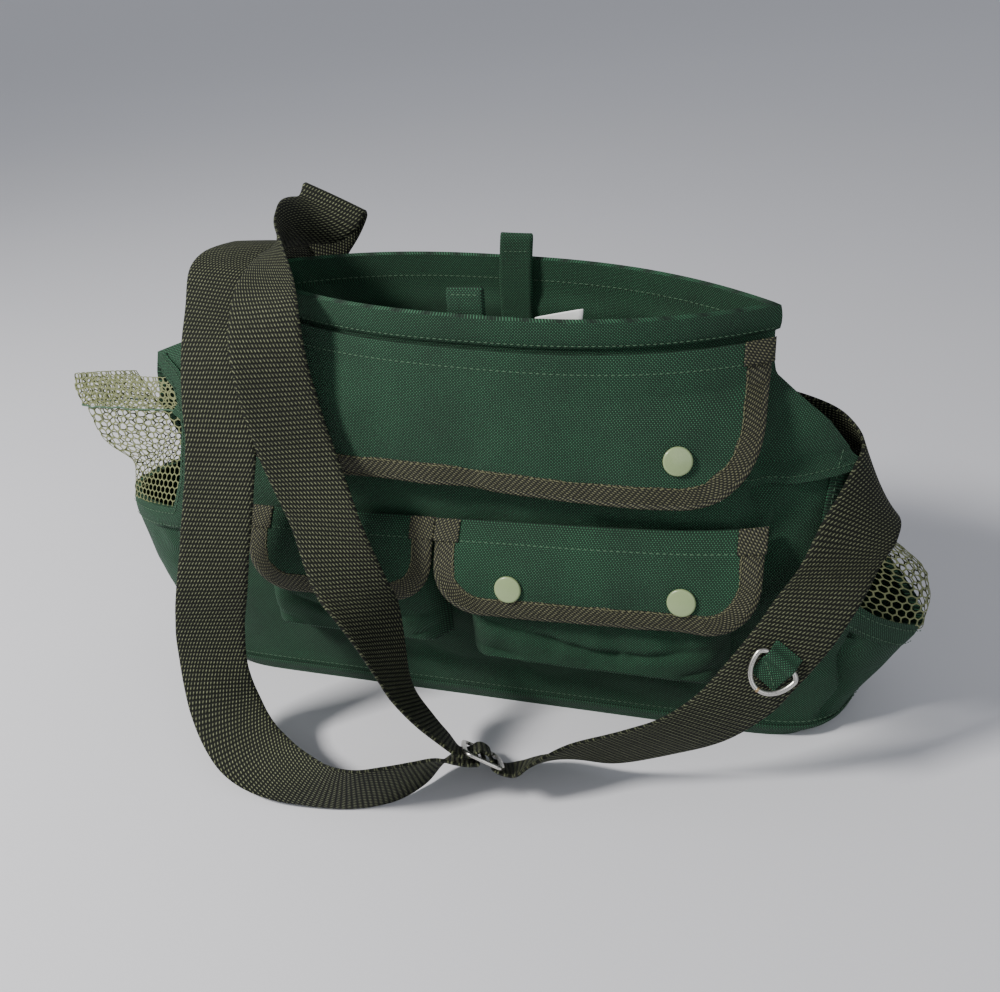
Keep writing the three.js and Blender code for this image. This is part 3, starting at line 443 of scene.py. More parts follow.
def make_mesh(name, patches, sharp):
    """One mesh from grids of points with their cloth coordinates. Shared edges are merged and,
    as each shell is closed, its faces are turned outwards."""
    points, faces, cloth, start = [], [], [], 0
    for grid, uv in patches:
        points.append(grid.reshape(-1, 3) * MM)
        cloth.append(np.broadcast_to(uv, grid.shape[:2] + (2,)).reshape(-1, 2) * MM)
        faces.append(patch_faces(grid.shape[0], grid.shape[1], start))
        start += grid.shape[0] * grid.shape[1]
    points, faces, cloth = np.concatenate(points), np.concatenate(faces), np.concatenate(cloth)
    return mesh_from(name, points, faces, cloth, sharp)


def mesh_from(name, points, faces, cloth, sharp):
    """A mesh from points in metres, four-sided faces and a cloth coordinate for each point."""
    mesh = bpy.data.meshes.new(name)
    mesh.from_pydata(points.tolist(), [], faces.tolist())
    layer = mesh.uv_layers.new(name="cloth")
    layer.data.foreach_set("uv", cloth[faces.reshape(-1)].astype(np.float32).reshape(-1))
    work = bmesh.new()
    work.from_mesh(mesh)
    bmesh.ops.remove_doubles(work, verts=work.verts, dist=2e-6)
    bmesh.ops.dissolve_degenerate(work, edges=work.edges, dist=1e-7)
    bmesh.ops.recalc_face_normals(work, faces=work.faces)
    work.to_mesh(mesh)
    work.free()
    mesh.polygons.foreach_set("use_smooth", [True] * len(mesh.polygons))
    mesh.set_sharp_from_angle(angle=math.radians(sharp))
    mesh.update()
    thing = bpy.data.objects.new(name, mesh)
    bpy.context.scene.collection.objects.link(thing)
    return thing


def slab(mid, thick, uv, round_edge):
    """A closed sheet of cloth about a grid of points: a face on each side, half the thickness
    away along the surface's normal, and a rounded edge all round."""
    du = np.gradient(mid, axis=1)
    dv = np.gradient(mid, axis=0)
    n = unit(np.cross(du, dv))
    front = mid + n * thick / 2
    back = mid - n * thick / 2
    patches = [(front, uv), (back, uv)]
    sides = [
        (np.s_[0, :], -dv), (np.s_[-1, :], dv), (np.s_[:, 0], -du), (np.s_[:, -1], du),
    ]
    for cut, out in sides:
        bulge = mid[cut] + unit(out[cut]) * round_edge * thick / 2
        strip = np.stack([front[cut], bulge, back[cut]])
        # the strip's ends stay on the corners, so that neighbouring strips meet
        patches.append((strip, np.stack([uv[cut]] * 3)))
    return patches


def corner_fix(patches):
    """Closes the four corners of a slab: the bulged middles of neighbouring edge strips meet in
    one point each."""
    strips = [list(p) for p in patches[2:6]]
    top, bottom, left, right = strips
    joins = [
        (top, 0, left, 0), (top, -1, right, 0), (bottom, 0, left, -1), (bottom, -1, right, -1),
    ]
    for one, i, other, j in joins:
        middle = (one[0][1, i] + other[0][1, j]) / 2
        one[0][1, i] = middle
        other[0][1, j] = middle
    return patches[:2] + [tuple(s) for s in strips]


def cloth_piece(name, mid, thick, uv=None, round_edge=0.5):
    """A sheet of cloth as an object; its coordinates follow the surface in real distance."""
    if uv is None:
        uv = np.stack([measured(mid, 1), measured(mid, 0)], -1)
    return make_mesh(name, corner_fix(slab(mid, thick, uv, round_edge)), 60)


def tube(name, centre, radius, across, closed, sides):
    """A round wire: circles of that radius about a path, in the plane of the path's own normal
    and the direction square to both."""
    centre = np.asarray(centre, float)
    if closed:
        ahead = np.roll(centre, -1, 0) - np.roll(centre, 1, 0)
    else:
        ahead = np.gradient(centre, axis=0)
    ahead = unit(ahead)
    side = unit(np.cross(ahead, np.broadcast_to(across, ahead.shape)))
    up = unit(np.cross(side, ahead))
    a = np.linspace(0, 2 * math.pi, sides + 1)
    radius = np.broadcast_to(radius, len(centre))[:, None, None]
    ring = np.cos(a)[:, None] * side[:, None] + np.sin(a)[:, None] * up[:, None]
    grid = centre[:, None] + radius * ring
    grid[:, -1] = grid[:, 0]
    if closed:
        grid = np.concatenate([grid, grid[:1]])
    uv = np.stack([measured(grid, 1), measured(grid, 0)], -1)
    patches = [(grid, uv)]
    if not closed:
        for end in (0, -1):
            cap = np.stack([grid[end], np.broadcast_to(centre[end], grid[end].shape)])
            patches.append((cap, np.zeros(2)))
    return make_mesh(name, patches, 70)


class Wire:
    """A shader socket in arithmetic: each operator adds its Math node."""

    def __init__(self, tree, socket):
        self.tree, self.socket = tree, socket

    def math(self, operation, *others):
        return self.tree.node("ShaderNodeMath", {"operation": operation}, [self, *others])

    def __add__(self, other):
        return self.math("ADD", other)

    def __mul__(self, other):
        return self.math("MULTIPLY", other)

    def __sub__(self, other):
        return self.math("SUBTRACT", other)

    def __rsub__(self, other):
        return self.tree.node("ShaderNodeMath", {"operation": "SUBTRACT"}, [other, self])

    def __truediv__(self, other):
        return self.math("DIVIDE", other)

    def __pow__(self, other):
        return self.math("POWER", other)

    def __mod__(self, other):
        return self.math("FLOORED_MODULO", other)

    def __abs__(self):
        return self.math("ABSOLUTE")

    def __gt__(self, other):
        return self.math("GREATER_THAN", other)

    __radd__ = __add__
    __rmul__ = __mul__

    def floor(self):
        return self.math("FLOOR")

    def fract(self):
        return self.math("FRACT")

    def sine(self):
        return self.math("SINE")

    def least(self, other):
        return self.math("MINIMUM", other)

    def most(self, other):
        return self.math("MAXIMUM", other)

    def clamped(self):
        return self.most(0).least(1)

    def beside(self, output):
        """Another output of the node that this socket is on."""
        return Wire(self.tree, self.socket.node.outputs[output])


class Finish:
    """A material's node tree: one method makes every node."""

    def __init__(self, name):
        self.material = bpy.data.materials.get(name) or bpy.data.materials.new(name)
        self.material.use_nodes = True
        self.nodes = self.material.node_tree.nodes
        self.links = self.material.node_tree.links
        self.nodes.clear()

    def node(self, kind, settings, inputs, output=0):
        """A node of that type: its settings first, then its sockets' values or links."""
        made = self.nodes.new(kind)
        for key, value in settings.items():
            setattr(made, key, value)
        pairs = inputs.items() if isinstance(inputs, dict) else enumerate(inputs)
        for key, value in pairs:
            if isinstance(value, Wire):
                self.links.new(value.socket, made.inputs[key])
            else:
                made.inputs[key].default_value = value
        return Wire(self, made.outputs[output]) if made.outputs else None

    def cloth_axes(self):
        """The two cloth coordinates, in metres along the surface."""
        uv = self.node("ShaderNodeUVMap", {"uv_map": "cloth"}, [])
        across = self.node("ShaderNodeSeparateXYZ", {}, [uv])
        return across, across.beside(1)

    def place(self):
        """The point on the object, in metres."""
        return self.node("ShaderNodeTexCoord", {}, [], "Object")

    def noise(self, scale, detail=2.0):
        """Smooth noise from 0 to 1 at that many waves a metre."""
        return self.node(
            "ShaderNodeTexNoise", {}, {"Vector": self.place(), "Scale": scale, "Detail": detail},
        )

    def blend(self, factor, one, two):
        """Colours mixed by a factor."""
        return self.node(
            "ShaderNodeMix", {"data_type": "RGBA", "clamp_factor": True},
            {0: factor, 6: one, 7: two}, 2,
        )

    def bump(self, height, distance, strength=1.0):
        """A bump of that height in metres."""
        return self.node(
            "ShaderNodeBump", {}, {"Height": height, "Distance": distance, "Strength": strength},
        )

    def surface(self, **values):
        """The surface shader, joined to the output."""
        names = [key.replace("_", " ").title().replace("Ior", "IOR") for key in values]
        shader = self.node("ShaderNodeBsdfPrincipled", {}, dict(zip(names, values.values())))
        self.node("ShaderNodeOutputMaterial", {}, [shader])


def solid(colour):
    """A colour with full alpha, as the sockets take it."""
    return tuple(colour) + (1,)


def bag_cloth(look):
    """Plain-woven polyester: threads over and under each other in a chequer, the warp shinier than
    the weft, with slow random changes of tone over the bag. The lit crowns of the threads are
    painted highlights, brighter on the warp, sparkling at random and in slow patches."""
    f = Finish("green_bag_cloth")
    u, v = f.cloth_axes()
    a, b = u / (look.weave * MM), v / (look.weave * MM)
    wobble = f.noise(90, 2) * 0.5
    a, b = a + wobble, b + wobble * 0.7
    warp = ((a.floor() + b.floor()) % 2) > 0.5
    ridge_a = abs((a * math.pi).sine())
    ridge_b = abs((b * math.pi).sine())
    crown = (ridge_a * ridge_b) ** 0.6
    speck = f.noise(1400, 1)
    # Painted highlights: the crowns of the threads are lit, more on the warp, with random sparkle and in
    # slow patches.
    light = crown ** 2 * (warp * 0.88 + 0.12) * (speck * 1.8 + 0.05) * (f.noise(34, 3) * 1.3 + 0.4)
    shade = f.noise(14, 3)
    dark = f.blend(shade, solid(look.cloth_dark), solid(look.cloth))
    colour = f.blend(light, dark, solid(look.cloth_painted_glint))
    rough = 0.82 - warp * crown * 0.34 + shade * 0.1
    height = crown * (warp * 0.5 + 0.5) + f.noise(60, 3) * 0.8
    f.surface(
        base_color=colour, roughness=rough, normal=f.bump(height, 0.00045, 0.9),
        specular_ior_level=0.4,
    )


def strap_webbing(look):
    """Coarse webbing: fine pale dashes that lean one way, in staggered rows across a dark
    ribbed ground, with painted shade in the grooves between the rows and across them."""
    f = Finish("olive_strap_webbing")
    u, v = f.cloth_axes()
    wobble = (f.noise(120, 1) - 0.5) * 0.35
    row = v / (look.webbing_row * MM) + wobble * 0.5
    odd = row.floor() % 2
    b = row.fract() - 0.5
    a = (u / (look.webbing_dash * MM) + odd * 0.5 + b * 0.55 + wobble * 0.6).fract() - 0.5
    dash = (1 - (a * 4.2) ** 2 - (b * 2.35) ** 2).clamped()
    speck = f.noise(900, 1)
    rib = abs((row * math.pi).sine())
    cross = abs((u / (look.webbing_dash * MM) * 2 * math.pi).sine())
    wear = f.noise(22, 2)
    # Painted shade: the ground is darker in the grooves between the rows and across them.
    ground = f.blend(rib * 0.6 + cross * 0.2, solid(look.webbing_painted_shade), solid(look.webbing))
    pale = dash ** 0.8 * (speck * 1.5 + 0.1) * (wear * 0.6 + 0.6)
    colour = f.blend(pale, ground, solid(look.webbing_dash_colour))
    height = dash ** 0.5 * 0.9 + rib * 0.5 + cross * 0.12
    f.surface(
        base_color=colour, roughness=0.78 - dash * 0.18, normal=f.bump(height, 0.0007, 0.9),
        specular_ior_level=0.22,
    )


def tape_binding(look):
    """Herringbone tape: slanting ribs that turn at the tape's middle, broken into pale floats. The
    grooves between the ribs are darkened with painted shade, and the floats are pale partly by
    painted highlights that sparkle at random.
    """
    f = Finish("olive_binding_tape")
    u, v = f.cloth_axes()
    middle = 5.0 * MM
    slant = (v + abs(u - middle) * 1.1) / (1.9 * MM) + (f.noise(200, 1) - 0.5) * 0.3
    rib = abs((slant * math.pi).sine())
    across = (u / (1.5 * MM) + slant.floor() * 0.37).fract()
    float_thread = (1 - abs(across - 0.5) * 2.4).clamped() * rib
    speck = f.noise(1100, 1)
    # Painted shade: the ground is darker in the grooves between the ribs.
    ground = f.blend(rib, solid(look.binding_painted_shade), solid(look.binding))
    # The pale floats, brightened in part by painted highlights with random sparkle.
    colour = f.blend(float_thread ** 1.6 * (speck * 1.6 + 0.1), ground, solid(look.binding_painted_glint))
    f.surface(
        base_color=colour, roughness=0.7 - float_thread * 0.15,
        normal=f.bump(rib * 0.7 + float_thread * 0.6, 0.0006, 0.9), specular_ior_level=0.4,
    )


def net_thread(look):
    """Knitted net yarn: fine twisted ribs and small changes of shade."""
    f = Finish("pale_net_yarn")
    fine = f.noise(1800, 2)
    slow = f.noise(40, 2)
    colour = f.blend(fine * 0.6 + slow * 0.5, solid(look.net_dark), solid(look.net))
    f.surface(
        base_color=colour, roughness=0.6 + fine * 0.2, normal=f.bump(fine, 0.0003, 0.7),
        specular_ior_level=0.4,
    )


def sewing_thread(name, dark, pale):
    """Twisted thread: slanting turns, pale on their crowns and darker in the grooves between
    them; the darker grooves are painted shade.
    """
    f = Finish(name)
    twist = abs((f.cloth_axes()[1] / (0.7 * MM) * math.pi).sine())
    # Painted shade: the thread is darker in the grooves between its turns.
    colour = f.blend(twist * 0.7 + f.noise(500) * 0.3, dark, pale)
    f.surface(base_color=colour, roughness=0.6, normal=f.bump(twist, 0.0001), specular_ior_level=0.4)


def snap_enamel(look):
    """Glossy enamel with faint mottling and fine scuffs."""
    f = Finish("sage_snap_enamel")
    slow, fine = f.noise(120, 2), f.noise(900, 3)
    dull = solid(c * 0.84 for c in look.snap)
    colour = f.blend(slow * 0.5 + fine * 0.2, solid(look.snap), dull)
    f.surface(
        base_color=colour, roughness=0.26 + fine * 0.14, normal=f.bump(fine, 0.00004, 0.6),
        coat_weight=0.35, coat_roughness=0.15,
    )


def nickel(look):
    """Plated steel wire: bright, finely scuffed and duller in places."""
    f = Finish("nickel_wire")
    fine, slow = f.noise(700, 3), f.noise(70, 2)
    dull = solid(c * 0.72 for c in look.metal)
    colour = f.blend(slow, solid(look.metal), dull)
    f.surface(
        base_color=colour, metallic=1.0, roughness=0.17 + fine * 0.22, normal=f.bump(fine, 0.00005, 0.5),
    )


def brass_weld():
    """A small brazed spot: warm brass, uneven."""
    f = Finish("brass_weld")
    fine = f.noise(600, 3)
    colour = f.blend(fine, linear(150, 122, 84), linear(196, 178, 142))
    f.surface(base_color=colour, metallic=1.0, roughness=0.3 + fine * 0.2, normal=f.bump(fine, 0.0001))


def blank_label():
    """A white satin label: fine ribs, a little uneven in shade."""
    f = Finish("white_satin_label")
    rib = abs((f.cloth_axes()[0] / (0.5 * MM) * math.pi).sine())
    soft = f.noise(120, 2)
    colour = f.blend(soft * 0.5 + rib * 0.2, linear(236, 236, 233), linear(206, 206, 203))
    f.surface(base_color=colour, roughness=0.42 + soft * 0.15, normal=f.bump(rib, 0.00008))


def dress(thing, material, slot, *nodes, body="root"):
    """Gives a piece its material and its body, and hides the CAD nodes it stands for; its slot is not
    used.
    """
    thing.data.materials.clear()
    thing.data.materials.append(bpy.data.materials[material])
    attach(thing, body)
    if nodes:
        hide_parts(*nodes)
    return thing


def stitch_row(name, path, normal, stitch, material="green_sewing_thread", slot="cloth"):
    """A row of stitches: each is a spindle whose radius is the square root of one minus the
    square of the share along it, laid on the path and sunk at both ends."""
    pitch, length, radius = stitch
    path, normal = np.asarray(path, float), np.broadcast_to(normal, np.shape(path))
    along = np.concatenate([[0], np.cumsum(np.linalg.norm(np.diff(path, axis=0), axis=1))])
    count = max(1, int(along[-1] / pitch))
    start = (np.arange(count) + 0.5) * along[-1] / count
    a = np.linspace(-1, 1, 7)
    at = start[:, None] + a * length / 2
    centre = np.stack([np.interp(at, along, path[:, k]) for k in range(3)], -1)
    n = unit(np.stack([np.interp(at, along, normal[:, k]) for k in range(3)], -1))
    ahead = unit(np.gradient(centre, axis=1))
    side = unit(np.cross(ahead, n))
    n = unit(np.cross(side, ahead))
    fat = radius * np.sqrt(np.clip(1.02 - a ** 2, 0, 1))
    arch = (0.12 * (1 - a ** 2) - 0.1 * a ** 2)[None, :, None]
    ring = np.linspace(0, 2 * math.pi, 6)[:-1]
    round_it = np.cos(ring)[:, None] * side[:, :, None] + 0.8 * np.sin(ring)[:, None] * n[:, :, None]
    points = (centre + n * arch)[:, :, None] + fat[None, :, None, None] * round_it
    m, r, s = points.shape[:3]
    i = np.arange(m * r * s).reshape(m, r, s)
    j = np.roll(i, -1, 2)
    faces = np.stack([i[:, :-1], i[:, 1:], j[:, 1:], j[:, :-1]], -1).reshape(-1, 4)
    cloth = np.zeros((m, r, s, 2))
    cloth[..., 1] = (at - start[:, None] + length)[:, :, None]
    made = mesh_from(name, points.reshape(-1, 3) * MM, faces, cloth.reshape(-1, 2) * MM, 80)
    close_ends(made.data)
    return dress(made, material, slot)


def close_ends(mesh):
    """Fills the small open ends of tubes."""
    work = bmesh.new()
    work.from_mesh(mesh)
    bmesh.ops.holes_fill(work, edges=[e for e in work.edges if e.is_boundary], sides=8)
    bmesh.ops.recalc_face_normals(work, faces=work.faces)
    work.to_mesh(mesh)
    work.free()


# The bag's pieces


def window_limit(window, level, reach, more):
    """How far out the wall runs at a level: to the window's edge where there is one, and that
    much further on the back panel, whose opening is cut less deep."""
    order = np.argsort(window[:, 1])
    edge = np.interp(level, window[order, 1], window[order, 0], left=9, right=9) * HALF_WIDTH + more
    return np.minimum(edge, reach), edge < reach


def body_levels(rows):
    """Levels from the floor to the rim, close together at the bottom and at the rim's hem."""
    hem = 1 - HEM_HEIGHT / HEIGHT
    plain = np.linspace(0, hem, rows)
    extra = [0.004, 0.008, 0.012, hem + 0.002, hem + 0.006, hem + 0.02, hem + 0.034, hem + 0.046,
             hem + 0.054, 0.997, 1.0]
    corners = np.concatenate([WINDOW_LEFT[1:-1, 1], WINDOW_RIGHT[1:-1, 1]])
    return np.unique(np.round(np.concatenate([plain, extra, corners]), 5))


def body_sag(x, z, q, level, side, edges):
    """How far the wall is pressed in at a point, in mm: slow waves, cloth crumple and the named
    folds, faded out at the bottom, the rim, the window edges and the side folds."""
    slow = 2.6 * (1 + ripple(x + 0.5 * z, z, 62, 11 + side)) / 2
    slant = 2.4 * np.maximum(ripple(x * 0.7 + z, (x - z) * 0.35, 19, 21 + side), 0) ** 1.3
    fine = 0.7 * (1 + ripple(x, z * 1.3, 8, 31 + side)) / 2
    folds = fold_depth(FRONT_FOLDS if side < 0 else BACK_FOLDS, x, z)
    fade = ease(z, 4, 20) * ease(-level, -0.93, -0.88) * ease(edges, 5, 24)
    return (slow + slant + fine + folds) * fade * (1 - np.abs(q) ** 9)


def body_panel(levels, cols, side, inset):
    """The front or back panel of the shell on a grid of levels by columns: each row runs from
    one limit to the other, closer together at the ends."""
    level = levels[:, None]
    left, right = section(level)[:2]
    left, right = left * HALF_WIDTH, right * HALF_WIDTH
    more = 0.0 if side < 0 else 1.0
    left_limit, left_cut = window_limit(WINDOW_LEFT, level, left, more * BACK_MORE_LEFT)
    right_limit, right_cut = window_limit(WINDOW_RIGHT, level, right, more * BACK_MORE_RIGHT)
    s = np.linspace(-1, 1, cols)[None]
    even = squared(np.sin(s * math.pi / 2), 0.9)
    q = np.where(s < 0, even * left_limit / left, even * right_limit / right)
    x = q * np.where(q < 0, left, right)
    z = level * HEIGHT + rim_shift(x, level)
    gap = np.minimum(
        np.where(left_cut, x + left_limit, 99), np.where(right_cut, right_limit - x, 99)
    )
    hem, proud = 1 - HEM_HEIGHT / HEIGHT, 0.0
    if inset == 0:
        roll = np.sin(math.pi * np.clip((level - hem) / (1 - hem), 0, 1))
        proud = ease(level, hem, hem + 0.006) * (HEM_PROUD + 0.5 * roll)
    sag = body_sag(x, z, q, level, side, gap)
    points = body_point(level, q, side, inset + sag - proud)
    if inset > 0:
        points[..., 2] = np.maximum(points[..., 2], WALL)
    middle = cols // 2
    along = measured(points, 1)
    along = (along - along[:, middle:middle + 1]) * (1 if side < 0 else -1)
    up = np.broadcast_to(points[..., 2], along.shape)
    return points, np.stack([along + (0 if side < 0 else 400), up], -1), left_cut[:, 0], right_cut[:, 0]


def body_shell(look):
    """The bag's shell as one closed sheet: outer and inner panels front and back, joined round
    the rim, the windows' edges and the floor."""
    levels = body_levels(look.body_rows)
    cols = look.body_cols
    front, front_uv, left_cut, right_cut = body_panel(levels, cols, -1, 0)
    back, back_uv = body_panel(levels, cols, 1, 0)[:2]
    inner_front = body_panel(levels, cols, -1, WALL)[0]
    inner_back = body_panel(levels, cols, 1, WALL)[0]
    patches = [(front, front_uv), (back, back_uv), (inner_front, front_uv), (inner_back, back_uv)]
    # the rim: a round fold over the top edge
    for outer, inner, uv in ((front, inner_front, front_uv), (back, inner_back, back_uv)):
        top = (outer[-1] + inner[-1]) / 2 + [0, 0, 1.3]
        patches.append((np.stack([outer[-1], top, inner[-1]]), np.stack([uv[-1]] * 3)))
    # the windows' edges, in the runs of rows where the wall is cut
    for column, cut in ((0, left_cut), (-1, right_cut)):
        rows = np.flatnonzero(cut)
        span = slice(max(rows[0] - 1, 0), rows[-1] + 2)
        for outer, inner, uv in ((front, inner_front, front_uv), (back, inner_back, back_uv)):
            strip = np.stack([outer[span, column], inner[span, column]], 1)
            patches.append((strip, np.stack([uv[span, column]] * 2, 1)))
    # the floor, outside and inside
    for one, other in ((front, back), (inner_front, inner_back)):
        floor = np.stack([one[0], other[0]])
        floor[..., 2] = one[0, :, 2]
        patches.append((floor, floor[..., :2]))
    dress(make_mesh("body_shell_cloth", patches, 50), "green_bag_cloth", "cloth", "body_shell")


def flap_grid(flap, cols, rows, inset):
    """A flap's cloth: rows that follow the outline's half-width, closer together at the foot."""
    v = np.sin(np.linspace(0, math.pi / 2, rows))[:, None]
    corner, drop = flap["corner"] - inset, flap["drop"] - inset
    down = v * drop
    into = np.clip((down - (drop - corner)) / corner, 0, 1)
    half = flap["half"] - inset - corner * (1 - np.sqrt(np.clip(1 - into * into, 0, 1)))
    u = np.linspace(-1, 1, cols)[None]
    across, down = np.broadcast_arrays(u * half, down)
    return flap_point(flap, across[::-1], down[::-1]), across[::-1], -down[::-1]


def flap_band(name, flap, node):
    """The folded tape round a flap: its section, a squared-off oval with the tape's width across
    and its thickness out, is carried along the outline."""
    k = np.linspace(0, EDGE_STEPS, EDGE_STEPS + 1)[:, None]
    ring = np.linspace(0, 2 * math.pi, 21)[None]
    over = BAND / 2 * (1 - squared(np.cos(ring), 0.55))
    out = BAND_CLOTH / 2 * squared(np.sin(ring), 0.75)
    across, down = flap_edge(flap, k, over)
    grid, n = flap_face(flap, across, down, out[..., None])
    length = measured(flap_point(flap, across[:, :1], down[:, :1]), 0)
    pull = 0.25 * ripple(length, np.broadcast_to(over, (len(length), over.shape[1])), 9, 8)
    grid = grid + n * (pull * (np.abs(np.sin(ring)) > 0.5))[..., None]
    grid[:, -1] = grid[:, 0]
    uv = np.stack(np.broadcast_arrays(over + 2, length), -1)
    patches = [(grid, uv)]
    for end in (0, -1):
        centre = np.broadcast_to(grid[end].mean(0), grid[end].shape)
        patches.append((np.stack([grid[end], centre]), np.stack([uv[end]] * 2)))
    return dress(make_mesh(name, patches, 60), "olive_binding_tape", "binding", node)


def flap_piece(prefix, flap, cloth_node, band_node):
    """A flap: its cloth, which runs into the folded tape, a line of stitches along the tape's
    inner edge and one below the top seam, and the tape's two ends."""
    mid, across, up = flap_grid(flap, 120, 60, BAND - 2.5)
    cloth = cloth_piece(prefix + "_cloth", mid, FLAP_CLOTH, np.stack([across + 700, up], -1))
    dress(cloth, "green_bag_cloth", "cloth", cloth_node)
    pieces = [flap_band(prefix + "_tape", flap, band_node)]
    across, down = flap_edge(flap, np.linspace(1.5, EDGE_STEPS - 1.5, 400), BAND - 1.6)
    line, n = flap_face(flap, across, down, BAND_CLOTH / 2)
    pieces.append(
        stitch_row(prefix + "_tape_stitches", line, n, TAPE_STITCH, "olive_sewing_thread", "binding")
    )
    reach = flap["half"] - BAND - 1
    across = np.linspace(-reach, reach, 200)
    line, n = flap_face(flap, across, np.full_like(across, 9.0), FLAP_CLOTH / 2)
    pieces.append(stitch_row(prefix + "_top_stitches", line, n, FLAP_STITCH))
    for sign, word in ((-1, "left"), (1, "right")):
        pieces.append(tape_end(f"{prefix}_tape_end_{word}", flap, sign))
    wide, long = measured(mid, 1)[:, -1].max(), measured(mid, 0)[-1, 40:80].max()
    cloth_area(mid) * MM * MM


def cloth_area(grid):
    """The area of a grid of points: for each cell half the cross product of its diagonals."""
    one, other = grid[1:, 1:] - grid[:-1, :-1], grid[1:, :-1] - grid[:-1, 1:]
    return np.linalg.norm(np.cross(one, other), axis=-1).sum() / 2


def tape_end(name, flap, sign):
    """The tape's upper end, folded in and sewn down: a short square of tape over the band, its
    ribs running across."""
    outer, down = np.meshgrid(np.linspace(-0.3, BAND + 0.5, 17), np.linspace(-0.4, 9.5, 15))
    across = sign * (flap["half"] - outer)
    mid = flap_face(flap, across, down, BAND_CLOTH / 2 + 0.25)[0]
    made = cloth_piece(name, mid, SEAM_STRIP, np.stack([down + 20, 1.3 * outer], -1), 0.8)
    return dress(made, "olive_binding_tape", "binding")


def flap_face(flap, across, down, out):
    """Points on a flap's outer face and its normals there."""
    e = 0.5
    base = flap_point(flap, across, down)
    n = unit(np.cross(
        flap_point(flap, across + e, down) - flap_point(flap, across - e, down),
        flap_point(flap, across, down - e) - flap_point(flap, across, down + e),
    ))
    return base + n * out, n


def pocket_piece(name, pocket, node, seed):
    """A bellows pocket with soft sides: the pocket's surface with crumples and slanting creases
    that fade at its edges, and stitches along its folded top."""
    u, v = np.meshgrid(np.linspace(0, 1, 150), np.linspace(0, 1, 110) ** 1.3)
    mid = pocket_point(pocket, u, v)
    x, z = mid[..., 0], mid[..., 2]
    fade = np.sin(math.pi * u) ** 0.6 * ease(v, 0.02, 0.2) * ease(-v, -0.99, -0.8)
    dip = 2.6 * np.maximum(ripple(x + 0.8 * z, z - 0.4 * x, 19, seed), 0)
    dip = dip + (1 + ripple(x, z, 8, seed + 1)) / 2
    for u0, v0, u1, v1, wide, deep in POCKET_CREASES:
        du, dv = u1 - u0, v1 - v0
        run = np.clip(((u - u0) * du + (v - v0) * dv) / (du ** 2 + dv ** 2), 0, 1)
        off = np.hypot(u - u0 - run * du, 0.6 * (v - v0 - run * dv))
        dip = dip + deep * np.exp(-((off / wide) ** 2))
    mid[..., 1] += dip * fade
    made = cloth_piece(name, mid, FLAP_CLOTH, np.stack([x + 900, z + 0.9 * (mid[..., 1] + 60)], -1))
    dress(made, "green_bag_cloth", "cloth", node)
    u = np.linspace(0.03, 0.97, 160)
    line = pocket_point(pocket, u, np.full_like(u, 0.93)) + [0, -FLAP_CLOTH / 2 - 0.05, 0]
    stitch_row(name + "_stitches", line, np.array([0, -1.0, 0.1]), HEM_STITCH)


def net_piece(name, rows, pitch, yarn, seed, *nodes):
    """A knitted net: six-sided cells on the net's surface, each a ring between its hexagon and a
    rounder hole, on both faces, with the hole's wall between them."""
    grid_u, grid_v = np.meshgrid(np.linspace(0, 1, 61), np.linspace(0, 1, 41))
    plain = net_point(rows, grid_u, grid_v)
    run_a, run_b = measured(plain, 1).mean(0), measured(plain, 0).mean(1)
    wide, high = run_a[-1], run_b[-1]
    step_a, step_b = pitch, pitch * math.sqrt(3) / 2
    j, i = np.meshgrid(np.arange(int(high / step_b) + 2), np.arange(int(wide / step_a) + 2))
    ca = ((i + 0.5 * (j % 2)) * step_a).reshape(-1)
    cb = (j * step_b).reshape(-1)
    keep = (ca < wide + 0.4 * step_a) & (cb < high + 0.4 * step_b)
    ca, cb = ca[keep], cb[keep]
    turn = np.arange(12) * math.pi / 6
    radius = pitch / 2
    # corners of the cells point up and down, so the flats meet left and right
    outer_r = radius / np.cos((turn + math.pi / 6) % (math.pi / 3) - math.pi / 6)
    inner_r = (radius - yarn) * (0.35 + 0.65 * outer_r / radius)
    at = []
    for r in (outer_r, inner_r):
        a = ca[:, None] + r * np.cos(turn)
        b = cb[:, None] + r * np.sin(turn)
        edge = 0.0 if r is outer_r else 0.35
        at.append((
            np.interp(np.clip(a, edge, wide - edge), run_a, grid_u[0]),
            np.interp(np.clip(b, edge, high - edge), run_b, grid_v[:, 0]),
        ))

    def surface(u, v):
        base = net_point(rows, u, v)
        wave = 2.2 * ripple(u * wide, v * high, 17, seed) + 0.9 * ripple(u * wide, v * high, 7, seed + 1)
        fade = np.sin(math.pi * u) ** 0.7 * (0.35 + 0.65 * np.sin(math.pi * v))
        swing = 3.0 * ripple(u * wide, v * high, 26, seed + 2)
        base[..., 0] += wave * fade
        base[..., 2] += swing * fade * 0.5
        base[..., 1] += swing * fade * 0.6
        return base

    sheets = []
    e = 2e-3
    for u, v in at:
        p = surface(u, v)
        n = unit(np.cross(
            surface(np.minimum(u + e, 1), v) - surface(np.maximum(u - e, 0), v),
            surface(u, np.minimum(v + e, 1)) - surface(u, np.maximum(v - e, 0)),
        ))
        sheets.append((p + n * yarn * 0.42, p - n * yarn * 0.42))
    (rim_front, rim_back), (hole_front, hole_back) = sheets
    points = np.stack([rim_front, hole_front, hole_back, rim_back], 1)
    here = np.arange(len(ca) * 4 * 12).reshape(-1, 4, 12)
    after = np.roll(here, -1, 2)
    faces = np.concatenate([
        np.stack([here[:, k], after[:, k], after[:, k + 1], here[:, k + 1]], -1).reshape(-1, 4)
        for k in range(3)
    ])
    points = points.reshape(-1, 3) * MM
    dress(mesh_from(name, points, faces, points[:, 1:], 80), "pale_net_yarn", "net", *nodes)


